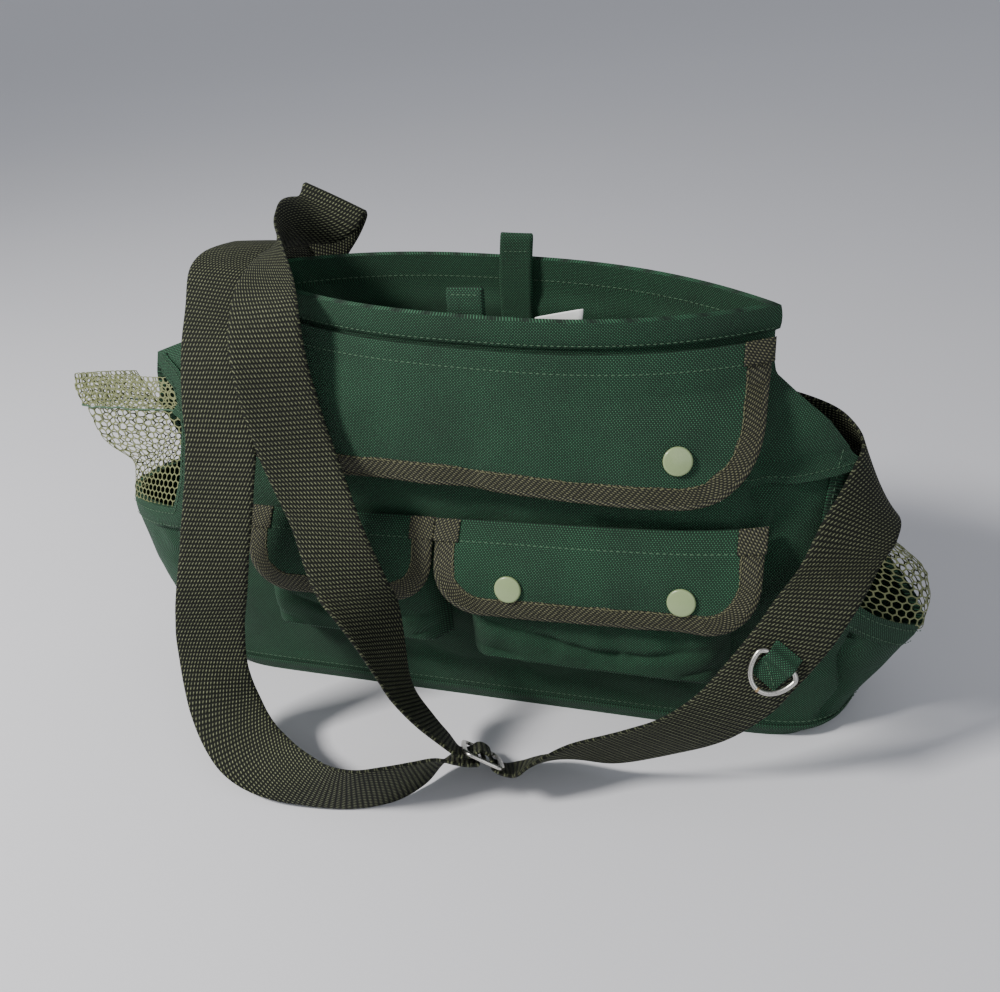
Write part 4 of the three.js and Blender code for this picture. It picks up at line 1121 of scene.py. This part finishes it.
def net_hem(name, rows, pitch, yarn):
    """The net's upper edge, folded back and gathered: a second, closer net over the top of the
    first, with a thread drawn through along its foot."""
    t = np.linspace(len(rows) - 1.75, len(rows) - 1, 4)
    fold = smoothly(rows, t) * [1, 1, 1.012, 1]
    net_piece(name, fold, 0.68 * pitch, yarn, 67)
    u = np.linspace(0.01, 0.99, 160)
    path = net_point(fold, u, 0 * u)
    path[:, 2] += 1.1 * ripple(300 * u, 0 * u, 11, 68)
    path[:, 1] -= 0.8
    thread = tube(name + "_thread", path, 0.55, [0, 0, 1.0], False, 8)
    dress(thread, "green_sewing_thread", "cloth")


def ribbon_grid(rows, steps, cols, width, curl, seed):
    """A strap's middle surface: points of a smooth path, spread along the direction across it,
    dished by curl and with a little waver along its edges."""
    t = np.linspace(0, len(rows) - 1, steps)
    p = smoothly(rows, t)
    across = unit(p[:, 3:6])
    ahead = unit(np.gradient(p[:, :3], axis=0))
    n = unit(np.cross(across, ahead))
    s = np.linspace(-1, 1, cols)
    length = measured(p[:, None, :3], 0)[:, 0]
    waver = 0.35 * ripple(length, 0 * length, 23, seed)[:, None] * s
    half = width / 2 - 0.25 + 0.2 * ripple(length, 0 * length, 11, seed + 1)[:, None]
    mid = p[:, None, :3] + across[:, None] * (s * half)[..., None]
    mid = mid + n[:, None] * (curl * (s ** 2 - 0.33) + waver)[..., None]
    uv = np.stack(np.broadcast_arrays(s * width / 2, length[:, None]), -1)
    return mid, uv


def strap_piece(name, rows, node, steps, seed):
    """A leg of the strap as a closed ribbon of webbing with full edges."""
    mid, uv = ribbon_grid(rows, steps, 15, STRAP_WIDTH, 0.25, seed)
    made = cloth_piece(name, mid, STRAP_CLOTH, uv, 0.9)
    dress(made, "olive_strap_webbing", "webbing", node)


def strip_piece(name, rows, width, thick, across, steps):
    """A small strip along a path of points; gives the piece and its middle surface."""
    rows = np.concatenate([np.asarray(rows, float), np.broadcast_to(across, (len(rows), 3))], 1)
    mid, uv = ribbon_grid(rows, steps, 11, width, 0.1, 3)
    return cloth_piece(name, mid, thick, uv, 0.7), mid


def rim_tab(node, rows, across, steps):
    """A folded tab at the rim; gives its middle surface."""
    made, mid = strip_piece(node + "_cloth", rows, TAB_WIDTH, TAB_CLOTH, across, steps)
    dress(made, "green_bag_cloth", "cloth", node)
    return mid


def tab_stitches(node, mid, *steps):
    """Rows of stitches straight across a rim tab, at those steps of its middle surface."""
    for k in steps:
        n = unit(np.cross(mid[k, 1] - mid[k, 0], mid[k + 1, 0] - mid[k, 0]))
        line = mid[k, 1:-1] + n * 0.75
        stitch_row(f"{node}_stitches_{k}", line, n, TAB_STITCH)


def snap_piece(name, flap, across, up, node):
    """A snap's cap turned about its axis: a low dome with a rolled edge."""
    down = flap["top"] + flap["rise"] * (across - flap["middle"]) - up
    foot, n = flap_face(flap, across - flap["middle"], down, FLAP_CLOTH / 2 + 0.1)
    r, h = SNAP_RADIUS, SNAP_HEIGHT
    profile = np.array([
        (0, 0), (0.93 * r, 0), (0.98 * r, 0.08 * h), (r, 0.25 * h), (r, 0.45 * h), (0.985 * r, 0.6 * h),
        (0.95 * r, 0.72 * h), (0.90 * r, 0.79 * h), (0.83 * r, 0.82 * h), (0.70 * r, 0.86 * h),
        (0.50 * r, 0.93 * h), (0.25 * r, 0.98 * h), (0, h),
    ])
    side = unit(np.cross([0, 0, 1.0], n))
    up_way = np.cross(n, side)
    a = np.linspace(0, 2 * math.pi, 57)
    ring = np.cos(a)[:, None] * side + np.sin(a)[:, None] * up_way
    grid = foot + profile[:, None, :1] * ring[None] + profile[:, None, 1:] * n
    grid[:, -1] = grid[:, 0]
    dress(make_mesh(name, [(grid, np.zeros(2))], 60), "sage_snap_enamel", "snap", node)


def ring_path(ring):
    """A wire ring's path: a straight bar closed by half an oval, with soft corners."""
    bar, out = unit(ring["bar"]), unit(ring["reach"])
    half, square = ring["half"], ring["square"]
    a = np.linspace(0, math.pi, 96)
    arc = np.stack([
        half * squared(np.cos(a), square), 2 + (ring["deep"] - 2) * squared(np.sin(a), square),
    ], 1)
    line = np.stack([np.linspace(-1, 1, 40)[1:-1] * half * 0.86, np.zeros(38)], 1)
    flat = np.concatenate([line, arc])
    for _ in range(3):
        flat = (np.roll(flat, 1, 0) + 2 * flat + np.roll(flat, -1, 0)) / 4
    centre = np.array(ring["at"], float) + flat[:, :1] * bar + flat[:, 1:] * out
    return centre, unit(np.cross(bar, out))


def ring_piece(name, ring, node, body):
    """A ring of round wire; gives the points of its path and their normal."""
    centre, normal = ring_path(ring)
    dress(tube(name, centre, ring["wire"], normal, True, 20), "nickel_wire", "metal", node, body=body)
    return centre, normal


def ring_weld(name, ring, centre, normal, body):
    """The ring's brazed spot: a short swelling of the wire at the far point of its arc."""
    k = np.argmax((centre - np.array(ring["at"])) @ unit(ring["reach"]))
    part = centre[k - 2:k + 3]
    swell = ring["wire"] * (1.02 + 0.16 * np.sin(np.linspace(0, math.pi, len(part))))
    dress(tube(name, part, swell, normal, False, 20), "brass_weld", "metal", body=body)


def ring_tab(name, ring, node):
    """The cloth tab sewn round the ring's bar: a strip that comes up from the webbing, over the
    bar and back down onto itself."""
    bar, out = unit(ring["bar"]), unit(ring["reach"])
    face = unit(np.cross(bar, out))
    path = np.array([
        (-7.4, 2.1), (-5.6, 1.8), (-4.4, 1.1), (-3.2, -0.3), (-2.2, -1.7), (-0.8, -2.35),
        (0.8, -2.35), (2.2, -1.6), (3.1, 0.0), (4.2, 1.2), (6.0, 1.7), (9.0, 1.9), (13.4, 2.1),
    ])
    t = np.linspace(0, len(path) - 1, 70)
    p = smoothly(path, t)
    s = np.linspace(-1, 1, 21)
    fray = 0.25 * ripple(t * 3, 0 * t, 4, 4)[:, None] * np.abs(s) ** 6
    mid = (
        np.array(ring["at"], float) + p[:, None, :1] * out + p[:, None, 1:] * face
        + (s * (RING_TAB_WIDTH / 2 - 0.3 + fray))[..., None] * bar
    )
    dress(cloth_piece(name, mid, 1.0, None, 0.6), "green_bag_cloth", "cloth", node)
    k = np.linspace(0, 1, 60)[:, None]
    line = np.array(ring["at"], float) + (4.2 + 7.5 * k) * out + 1.13 * face + (k - 0.5) * 12 * bar
    stitch_row(name + "_stitches", line, -face, TAB_STITCH)


def slider_piece():
    """The strap's slider: a rounded oblong of flat wire with a middle bar, rounded in section."""
    bar = unit(SLIDER["bar"])
    face = unit(np.cross(SLIDER["reach"], bar))
    out = np.cross(bar, face)
    at = np.array(SLIDER["at"], float)
    a = np.linspace(0, 2 * math.pi, 121)[:-1]
    rim = np.stack([
        SLIDER["deep"] * squared(np.cos(a), 0.35), SLIDER["half"] * squared(np.sin(a), 0.3),
    ], 1)
    for _ in range(2):
        rim = (np.roll(rim, 1, 0) + 2 * rim + np.roll(rim, -1, 0)) / 4
    ring = np.linspace(0, 2 * math.pi, 17)
    ahead = unit(np.roll(rim, -1, 0) - np.roll(rim, 1, 0))
    side = np.stack([ahead[:, 1], -ahead[:, 0]], 1)
    wide = SLIDER["wire"] * squared(np.cos(ring), 0.7)
    thick = SLIDER["plate"] * squared(np.sin(ring), 0.8)
    flat = rim[:, None] + side[:, None] * wide[None, :, None]
    grid = at + flat[..., :1] * out + flat[..., 1:] * bar + thick[None, :, None] * face
    grid[:, -1] = grid[:, 0]
    patches = [(np.concatenate([grid, grid[:1]]), np.zeros(2))]
    run = np.linspace(-1, 1, 40) * (SLIDER["half"] - 0.5)
    flat = np.stack([np.zeros((40, 17)) + wide, np.broadcast_to(run[:, None], (40, 17))], -1)
    cross = at + flat[..., :1] * out + flat[..., 1:] * bar + thick[None, :, None] * face * 0.96
    cross[:, -1] = cross[:, 0]
    patches.append((cross, np.zeros(2)))
    for end in (0, -1):
        middle = np.broadcast_to(cross[end].mean(0), cross[end].shape)
        patches.append((np.stack([cross[end], middle]), np.zeros(2)))
    dress(make_mesh("slider_plate", patches, 60), "nickel_wire", "metal", "strap_slider")


def shell_point(x, z, side, out, edges=99.0):
    """A point of the shell's folded outer face at x, z: the plain wall's point, pressed in as
    the shell is there and moved out square to it."""
    x, z = np.broadcast_arrays(np.asarray(x, float), np.asarray(z, float))
    level = np.clip((z - rim_shift(x, z / HEIGHT)) / HEIGHT, 0, 1)
    left, right = section(level)[:2]
    q = np.clip(x / (np.where(x < 0, left, right) * HALF_WIDTH), -1, 1)
    return body_point(level, q, side, body_sag(x, z, q, level, side, edges) - out)


def lapped_seam(name, ends):
    """A lapped seam on the front wall: a strip whose upper edge lies in the wall and whose lower
    edge stands a little proud, with a row of stitches above the lower edge."""
    (x0, z0), (x1, z1) = ends
    t = np.linspace(0, 1, 160)[None]
    s = np.linspace(0, 1, 13)[:, None]
    x = x0 + (x1 - x0) * t + 0 * s
    z = z0 + (z1 - z0) * t + YOKE_LAP * (1 - s) - 1.2 * np.sin(math.pi * t)
    out = -0.4 + 2.9 * s ** 1.2
    dress(cloth_piece(name, shell_point(x, z, -1, out), SEAM_STRIP), "green_bag_cloth", "cloth")
    t = np.linspace(0.01, 0.99, 200)
    x, z = x0 + (x1 - x0) * t, z0 + (z1 - z0) * t + 0.35 * YOKE_LAP - 1.2 * np.sin(math.pi * t)
    line = shell_point(x, z, -1, 2.0)
    stitch_row(name + "_stitches", line, line - shell_point(x, z, -1, 0.2), YOKE_STITCH)


def rim_stitches(side, word):
    """Stitches under the rim's hem, outside and inside."""
    q = np.linspace(-0.985, 0.985, 500)
    level = np.full_like(q, 1 - (HEM_HEIGHT - 2.6) / HEIGHT)
    line = body_point(level, q, side, -HEM_PROUD - 0.25)
    stitch_row(f"rim_{word}_stitches", line, line - body_point(level, q, side, 0), RIM_STITCH)
    line = body_point(level, q, side, WALL + 0.1)
    n = body_point(level, q, side, WALL + 2) - line
    stitch_row(f"rim_{word}_inner_stitches", line, n, RIM_STITCH)


def foot_welt(side, word):
    """The welt at the foot, a low roll that follows the outline just above the floor, with a row
    of stitches over it."""
    q = np.sin(np.linspace(-1, 1, 400) * math.pi / 2)
    rows = np.linspace(0, math.pi, 9)[:, None]
    level = 0.026 + 0.012 * np.cos(rows) + 0 * q
    roll = body_point(level, q + 0 * level, side, -0.9 * np.sin(rows) + 0.15)
    inner = body_point(level, q + 0 * level, side, 0.7)
    uv = np.stack([measured(roll, 1), roll[..., 2]], -1)
    patches = [(roll, uv), (inner, uv)]
    for cut in (0, -1):
        patches.append((np.stack([roll[cut], inner[cut]]), np.stack([uv[cut]] * 2)))
        patches.append((np.stack([roll[:, cut], inner[:, cut]], 1), np.stack([uv[:, cut]] * 2, 1)))
    dress(make_mesh(f"foot_welt_{word}", patches, 60), "green_bag_cloth", "cloth")
    level = np.full_like(q, 0.052)
    line = body_point(level, q * 0.99, side, -0.1)
    n = line - body_point(level, q * 0.99, side, 3)
    stitch_row(f"foot_{word}_stitches", line, n, FOOT_STITCH)


def window_hem(name, window, sign, side):
    """A window's hem on one panel: a strip along the edge with two rows of stitches."""
    hem_strip(name + "_hem", window, sign, side)
    for step, tag in ((3.0, "a"), (WINDOW_HEM - 1.6, "b")):
        x, z, inside = beside_window(window, sign, side, step)
        x, z = x[inside], z[inside]
        line = shell_point(x, z, side, 1.25, step)
        n = line - shell_point(x, z, side, 0.2, step)
        stitch_row(f"{name}_{tag}_stitches", line, n, HEM_STITCH)


def body_details():
    """The shell's seams: the rim's stitches, the welt round the foot, the yoke seams at both
    sides and the hems of the windows."""
    for side, word in ((-1, "front"), (1, "back")):
        rim_stitches(side, word)
        foot_welt(side, word)
    lapped_seam("yoke_seam_right", ((98, 168.5), (197, 161.0)))
    lapped_seam("yoke_seam_left", ((-196, 176.0), (-112, 171.0)))
    for window, sign, word in ((WINDOW_RIGHT, 1, "right"), (WINDOW_LEFT, -1, "left")):
        for side, face in ((-1, "front"), (1, "back")):
            window_hem(f"window_{word}_{face}", window, sign, side)


def beside_window(window, sign, side, step):
    """Points x, z that keep a distance from a window's edge, measured square to it, and which of
    them lie on the wall."""
    more = 0.0 if side < 0 else (BACK_MORE_LEFT if sign < 0 else BACK_MORE_RIGHT)
    level = np.linspace(window[1, 1] + 0.008, window[-2, 1] - 0.004, 200)
    edge = np.interp(level, window[:, 1], window[:, 0]) * HALF_WIDTH + more
    z = level * HEIGHT
    dx, dz = np.gradient(edge), np.gradient(z)
    run = np.hypot(dx, dz)
    x, up = (edge - step * dz / run) * sign, z + step * dx / run
    left, right = section(up / HEIGHT)[:2]
    inside = np.abs(x) < 0.985 * (right if sign > 0 else left) * HALF_WIDTH
    return x, up + rim_shift(x, up / HEIGHT), inside


def hem_strip(name, window, sign, side):
    """The hem beside a window: a strip of cloth laid on the wall along the window's edge."""
    steps = np.linspace(0.2, WINDOW_HEM, 12)
    rows = [beside_window(window, sign, side, step) for step in steps]
    inside = np.all([row[2] for row in rows], axis=0)
    mid = np.stack([
        shell_point(x[inside], z[inside], side, 0.62, step) for (x, z, _), step in zip(rows, steps)
    ])
    dress(cloth_piece(name, mid, SEAM_STRIP, None, 0.8), "green_bag_cloth", "cloth")


def stage_floor(look):
    """A wide pale floor with a very fine grain and soft random patches, and painted light: it is
    painted lighter towards the back and the left.
    """
    f = Finish("pale_floor")
    soft = f.noise(3, 2)
    aside = f.node("ShaderNodeSeparateXYZ", {}, [f.place()])
    # Painted light: the floor's colour grows lighter towards the back and the left.
    far = (aside.beside(1) * 0.95 - aside * 0.25 - 0.1) / 2.6
    near = f.blend(soft, linear(216, 216, 220), linear(211, 211, 215))
    colour = f.blend(far.clamped(), near, linear(226, 227, 232))
    grain = f.bump(f.noise(500), 0.00004)
    f.surface(base_color=colour, roughness=0.6, normal=grain, specular_ior_level=0.25)
    mesh = bpy.data.meshes.new("floor")
    r = look.floor_reach
    mesh.from_pydata([(-r, -r, 0), (r, -r, 0), (r, r, 0), (-r, r, 0)], [], [(0, 1, 2, 3)])
    floor = bpy.data.objects.new("floor", mesh)
    bpy.context.scene.collection.objects.link(floor)
    mesh.materials.append(f.material)


def lamp(name, at, aim, energy, size, colour):
    """A square soft light turned towards a point."""
    data = bpy.data.lights.new(name, "AREA")
    data.energy, data.size, data.color = energy, size, colour
    thing = bpy.data.objects.new(name, data)
    thing.location = at
    thing.rotation_euler = (Vector(aim) - Vector(at)).to_track_quat("-Z", "Y").to_euler()
    bpy.context.scene.collection.objects.link(thing)


# Settings, operators and panel


def millimetres(name, description, default, least):
    """A setting in millimetres."""
    return FloatProperty(name=name, description=description + " in mm", default=default, min=least)


def shade(name, description, *screen):
    """A colour setting, its default given as a screen colour."""
    return FloatVectorProperty(
        name=name, description=description, subtype="COLOR", size=3, default=linear(*screen)[:3],
    )


class CreelLook(bpy.types.PropertyGroup):
    """Sizes and colours of the bag's looks."""

    body_rows: IntProperty(
        name="Body rows", description="Rows of cells up the shell", default=112, min=20,
    )
    body_cols: IntProperty(
        name="Body columns", description="Columns of cells across each panel", default=151, min=21,
    )
    weave: millimetres("Weave", "Width of one thread of the bag's cloth", 0.8, 0.2)
    webbing_row: millimetres("Webbing row", "Distance between the webbing's rows", 2.6, 0.3)
    webbing_dash: millimetres("Webbing dash", "Distance between the webbing's dashes", 1.95, 0.3)
    net_pitch: millimetres("Net pitch", "Distance between the net's cells", 5.3, 2.0)
    net_yarn: millimetres("Net yarn", "Width of the net's yarn", 0.36, 0.2)
    floor_reach: FloatProperty(
        name="Floor reach", description="Half-width of the floor", default=30.0, unit="LENGTH",
    )
    cloth: shade("Cloth", "Lit shade of the bag's cloth", 9, 34, 20)
    cloth_dark: shade("Cloth, dark", "Dark shade of the bag's cloth", 5, 24, 14)
    # Painted highlights on the crowns of the cloth's threads.
    cloth_painted_glint: shade("Cloth glints", "Shade of the cloth's lit threads", 52, 112, 76)
    webbing: shade("Webbing", "Ground shade of the strap", 18, 22, 15)
    # Painted shade in the grooves of the webbing.
    webbing_painted_shade: shade("Webbing, dark", "Dark shade between the strap's rows", 11, 12, 8)
    webbing_dash_colour: shade("Webbing dashes", "Shade of the strap's pale threads", 124, 129, 98)
    binding: shade("Binding", "Ground shade of the binding tape", 22, 23, 15)
    # Painted shade in the grooves of the tape.
    binding_painted_shade: shade("Binding, dark", "Dark shade between the tape's ribs", 11, 12, 8)
    # The tape's pale floats, partly painted highlights.
    binding_painted_glint: shade("Binding threads", "Shade of the tape's pale threads", 134, 134, 98)
    net: shade("Net", "Shade of the net's yarn", 136, 140, 98)
    net_dark: shade("Net, dark", "Dark shade of the net's yarn", 62, 72, 40)
    snap: shade("Snap", "Shade of the snaps", 140, 158, 112)
    metal: shade("Metal", "Shade of the ring and slider", 206, 203, 196)


class CREEL_OT_camera(bpy.types.Operator):
    """Places the camera at the photograph's viewing angle"""

    bl_idname = "creel.camera"
    bl_label = "Camera"

    def execute(self, context):
        pitch, azimuth, roll = (math.radians(CAMERA[key]) for key in ("pitch", "azimuth", "roll"))
        right = Vector((math.cos(azimuth), math.sin(azimuth), 0))
        level = Vector((-math.sin(azimuth), math.cos(azimuth), 0))
        ahead = level * math.cos(pitch) - Vector((0, 0, math.sin(pitch)))
        up = right.cross(ahead)
        across = right * math.cos(roll) + up * math.sin(roll)
        above = up * math.cos(roll) - right * math.sin(roll)
        data = bpy.data.cameras.new("camera")
        data.lens, data.sensor_width = CAMERA["lens"], 36.0
        data.clip_start, data.clip_end = 0.01, 50
        camera = bpy.data.objects.new("camera", data)
        turn = Matrix((across, above, -ahead)).transposed()
        camera.matrix_world = Matrix.Translation(CAMERA["at"]) @ turn.to_4x4()
        context.scene.collection.objects.link(camera)
        context.scene.camera = camera
        return {"FINISHED"}


class CREEL_OT_stage(bpy.types.Operator):
    """Makes the floor, the world and the studio lights"""

    bl_idname = "creel.stage"
    bl_label = "Floor and lights"

    def execute(self, context):
        stage_floor(context.scene.creel)
        world = bpy.data.worlds.new("studio")
        world.use_nodes = True
        world.node_tree.nodes["Background"].inputs[0].default_value = (0.80, 0.82, 0.88, 1)
        world.node_tree.nodes["Background"].inputs[1].default_value = 0.47
        context.scene.world = world
        lamp("key", (-0.95, -0.75, 1.25), (0, 0, 0.1), 38, 0.3, (1.0, 0.98, 0.95))
        lamp("fill", (0.9, -1.2, 0.9), (0, 0, 0.1), 6, 1.2, (0.92, 0.96, 1.0))
        return {"FINISHED"}


class CREEL_OT_finishes(bpy.types.Operator):
    """Makes the materials"""

    bl_idname = "creel.finishes"
    bl_label = "Finishes"

    def execute(self, context):
        look = context.scene.creel
        for make in (bag_cloth, strap_webbing, tape_binding, net_thread, snap_enamel, nickel):
            make(look)
        brass_weld()
        blank_label()
        # Each thread: first the painted shade of the grooves between its turns, then its pale colour.
        sewing_thread("green_sewing_thread", linear(28, 54, 38), linear(80, 110, 84))
        sewing_thread("olive_sewing_thread", linear(62, 62, 42), linear(112, 112, 80))
        return {"FINISHED"}


class CREEL_OT_shell(bpy.types.Operator):
    """Makes the bag's shell with its folds, hem and seams"""

    bl_idname = "creel.shell"
    bl_label = "Shell"

    def execute(self, context):
        body_shell(context.scene.creel)
        body_details()
        return {"FINISHED"}


class CREEL_OT_nets(bpy.types.Operator):
    """Makes the two side nets"""

    bl_idname = "creel.nets"
    bl_label = "Side nets"

    def execute(self, context):
        look = context.scene.creel
        pitch, yarn = look.net_pitch, look.net_yarn
        net_piece("side_net_right", NET_RIGHT, pitch, yarn, 51, "side_mesh_right")
        net_piece("side_net_left", NET_LEFT, pitch, yarn, 61, "side_mesh_left")
        net_hem("side_net_left_hem", NET_LEFT, pitch, yarn)
        return {"FINISHED"}


class CREEL_OT_flaps(bpy.types.Operator):
    """Makes the three flaps with their taped edges and stitches"""

    bl_idname = "creel.flaps"
    bl_label = "Flaps"

    def execute(self, context):
        flap_piece("main", MAIN_FLAP, "main_flap", "main_flap_binding")
        flap_piece("small", SMALL_FLAP, "small_pocket_flap", "small_flap_binding")
        flap_piece("large", LARGE_FLAP, "large_pocket_flap", "large_flap_binding")
        return {"FINISHED"}


class CREEL_OT_pockets(bpy.types.Operator):
    """Makes the two bellows pockets"""

    bl_idname = "creel.pockets"
    bl_label = "Pockets"

    def execute(self, context):
        pocket_piece("small_pocket_cloth", SMALL_POCKET, "small_pocket", 71)
        pocket_piece("large_pocket_cloth", LARGE_POCKET, "large_pocket", 81)
        return {"FINISHED"}


class CREEL_OT_snaps(bpy.types.Operator):
    """Makes the snaps' caps"""

    bl_idname = "creel.snaps"
    bl_label = "Snaps"

    def execute(self, context):
        for node, (flap, across, up) in SNAPS.items():
            snap_piece(node + "_cap", flap, across, up, node)
        return {"FINISHED"}


class CREEL_OT_strap(bpy.types.Operator):
    """Makes the shoulder strap's three legs"""

    bl_idname = "creel.strap"
    bl_label = "Strap"

    def execute(self, context):
        strap_piece("right_leg_webbing", RIGHT_LEG, "strap_right_leg", 460, 91)
        strap_piece("front_leg_webbing", FRONT_LEG, "strap_front_leg", 620, 92)
        strap_piece("left_leg_webbing", LEFT_LEG, "strap_left_leg", 560, 93)
        return {"FINISHED"}


class CREEL_OT_fittings(bpy.types.Operator):
    """Makes the slider, the rings and their tabs"""

    bl_idname = "creel.fittings"
    bl_label = "Fittings"

    def execute(self, context):
        slider_piece()
        centre, normal = ring_piece("d_ring_wire", D_RING, "d_ring", "ring")
        ring_weld("d_ring_wire_weld", D_RING, centre, normal, "ring")
        ring_tab("d_ring_tab_cloth", D_RING, "d_ring_tab")
        ring_piece("left_ring_wire", LOOP, "left_ring", "root")
        strip = strip_piece("left_ring_strip", LOOP_STRIP, LOOP_STRIP_WIDTH, TAB_CLOTH, (1, 0, 0), 90)[0]
        dress(strip, "green_bag_cloth", "cloth", "left_ring_tab")
        return {"FINISHED"}


class CREEL_OT_tabs(bpy.types.Operator):
    """Makes the rim's two tabs and the label inside"""

    bl_idname = "creel.tabs"
    bl_label = "Tabs and label"

    def execute(self, context):
        front = rim_tab("front_tab", FRONT_TAB, (1, 0, 0), 90)
        back = rim_tab("back_tab", BACK_TAB, (-1, 0, 0), 140)
        label = strip_piece("inner_label_satin", LABEL, LABEL_WIDTH, LABEL_CLOTH, (1, 0.04, 0.2), 40)[0]
        dress(label, "white_satin_label", "label", "inner_label")
        tab_stitches("front_tab", front, 30)
        tab_stitches("back_tab", back, 52, 104)
        return {"FINISHED"}


class CREEL_PT_panel(bpy.types.Panel):
    """Lists the bag's operators and settings"""

    bl_idname = "CREEL_PT_panel"
    bl_label = "Fishing creel bag"
    bl_space_type = "VIEW_3D"
    bl_region_type = "UI"
    bl_category = "Creel"

    def draw(self, context):
        for operator in OPERATORS:
            self.layout.operator(operator.bl_idname)
        for name in CreelLook.__annotations__:
            self.layout.prop(context.scene.creel, name)


OPERATORS = [
    CREEL_OT_camera, CREEL_OT_stage, CREEL_OT_finishes, CREEL_OT_shell, CREEL_OT_nets, CREEL_OT_pockets,
    CREEL_OT_flaps, CREEL_OT_snaps, CREEL_OT_strap, CREEL_OT_fittings, CREEL_OT_tabs,
]
CLASSES = [CreelLook, *OPERATORS, CREEL_PT_panel]


def register():
    for made in CLASSES:
        bpy.utils.register_class(made)
    bpy.types.Scene.creel = PointerProperty(type=CreelLook)


def unregister():
    del bpy.types.Scene.creel
    for made in reversed(CLASSES):
        bpy.utils.unregister_class(made)


def main():
    """Builds every piece through its operator."""
    register()
    bpy.ops.creel.camera()
    bpy.ops.creel.stage()
    bpy.ops.creel.finishes()
    bpy.ops.creel.shell()
    bpy.ops.creel.nets()
    bpy.ops.creel.pockets()
    bpy.ops.creel.flaps()
    bpy.ops.creel.snaps()
    bpy.ops.creel.strap()
    bpy.ops.creel.fittings()
    bpy.ops.creel.tabs()


if __name__ == "__main__":
    main()
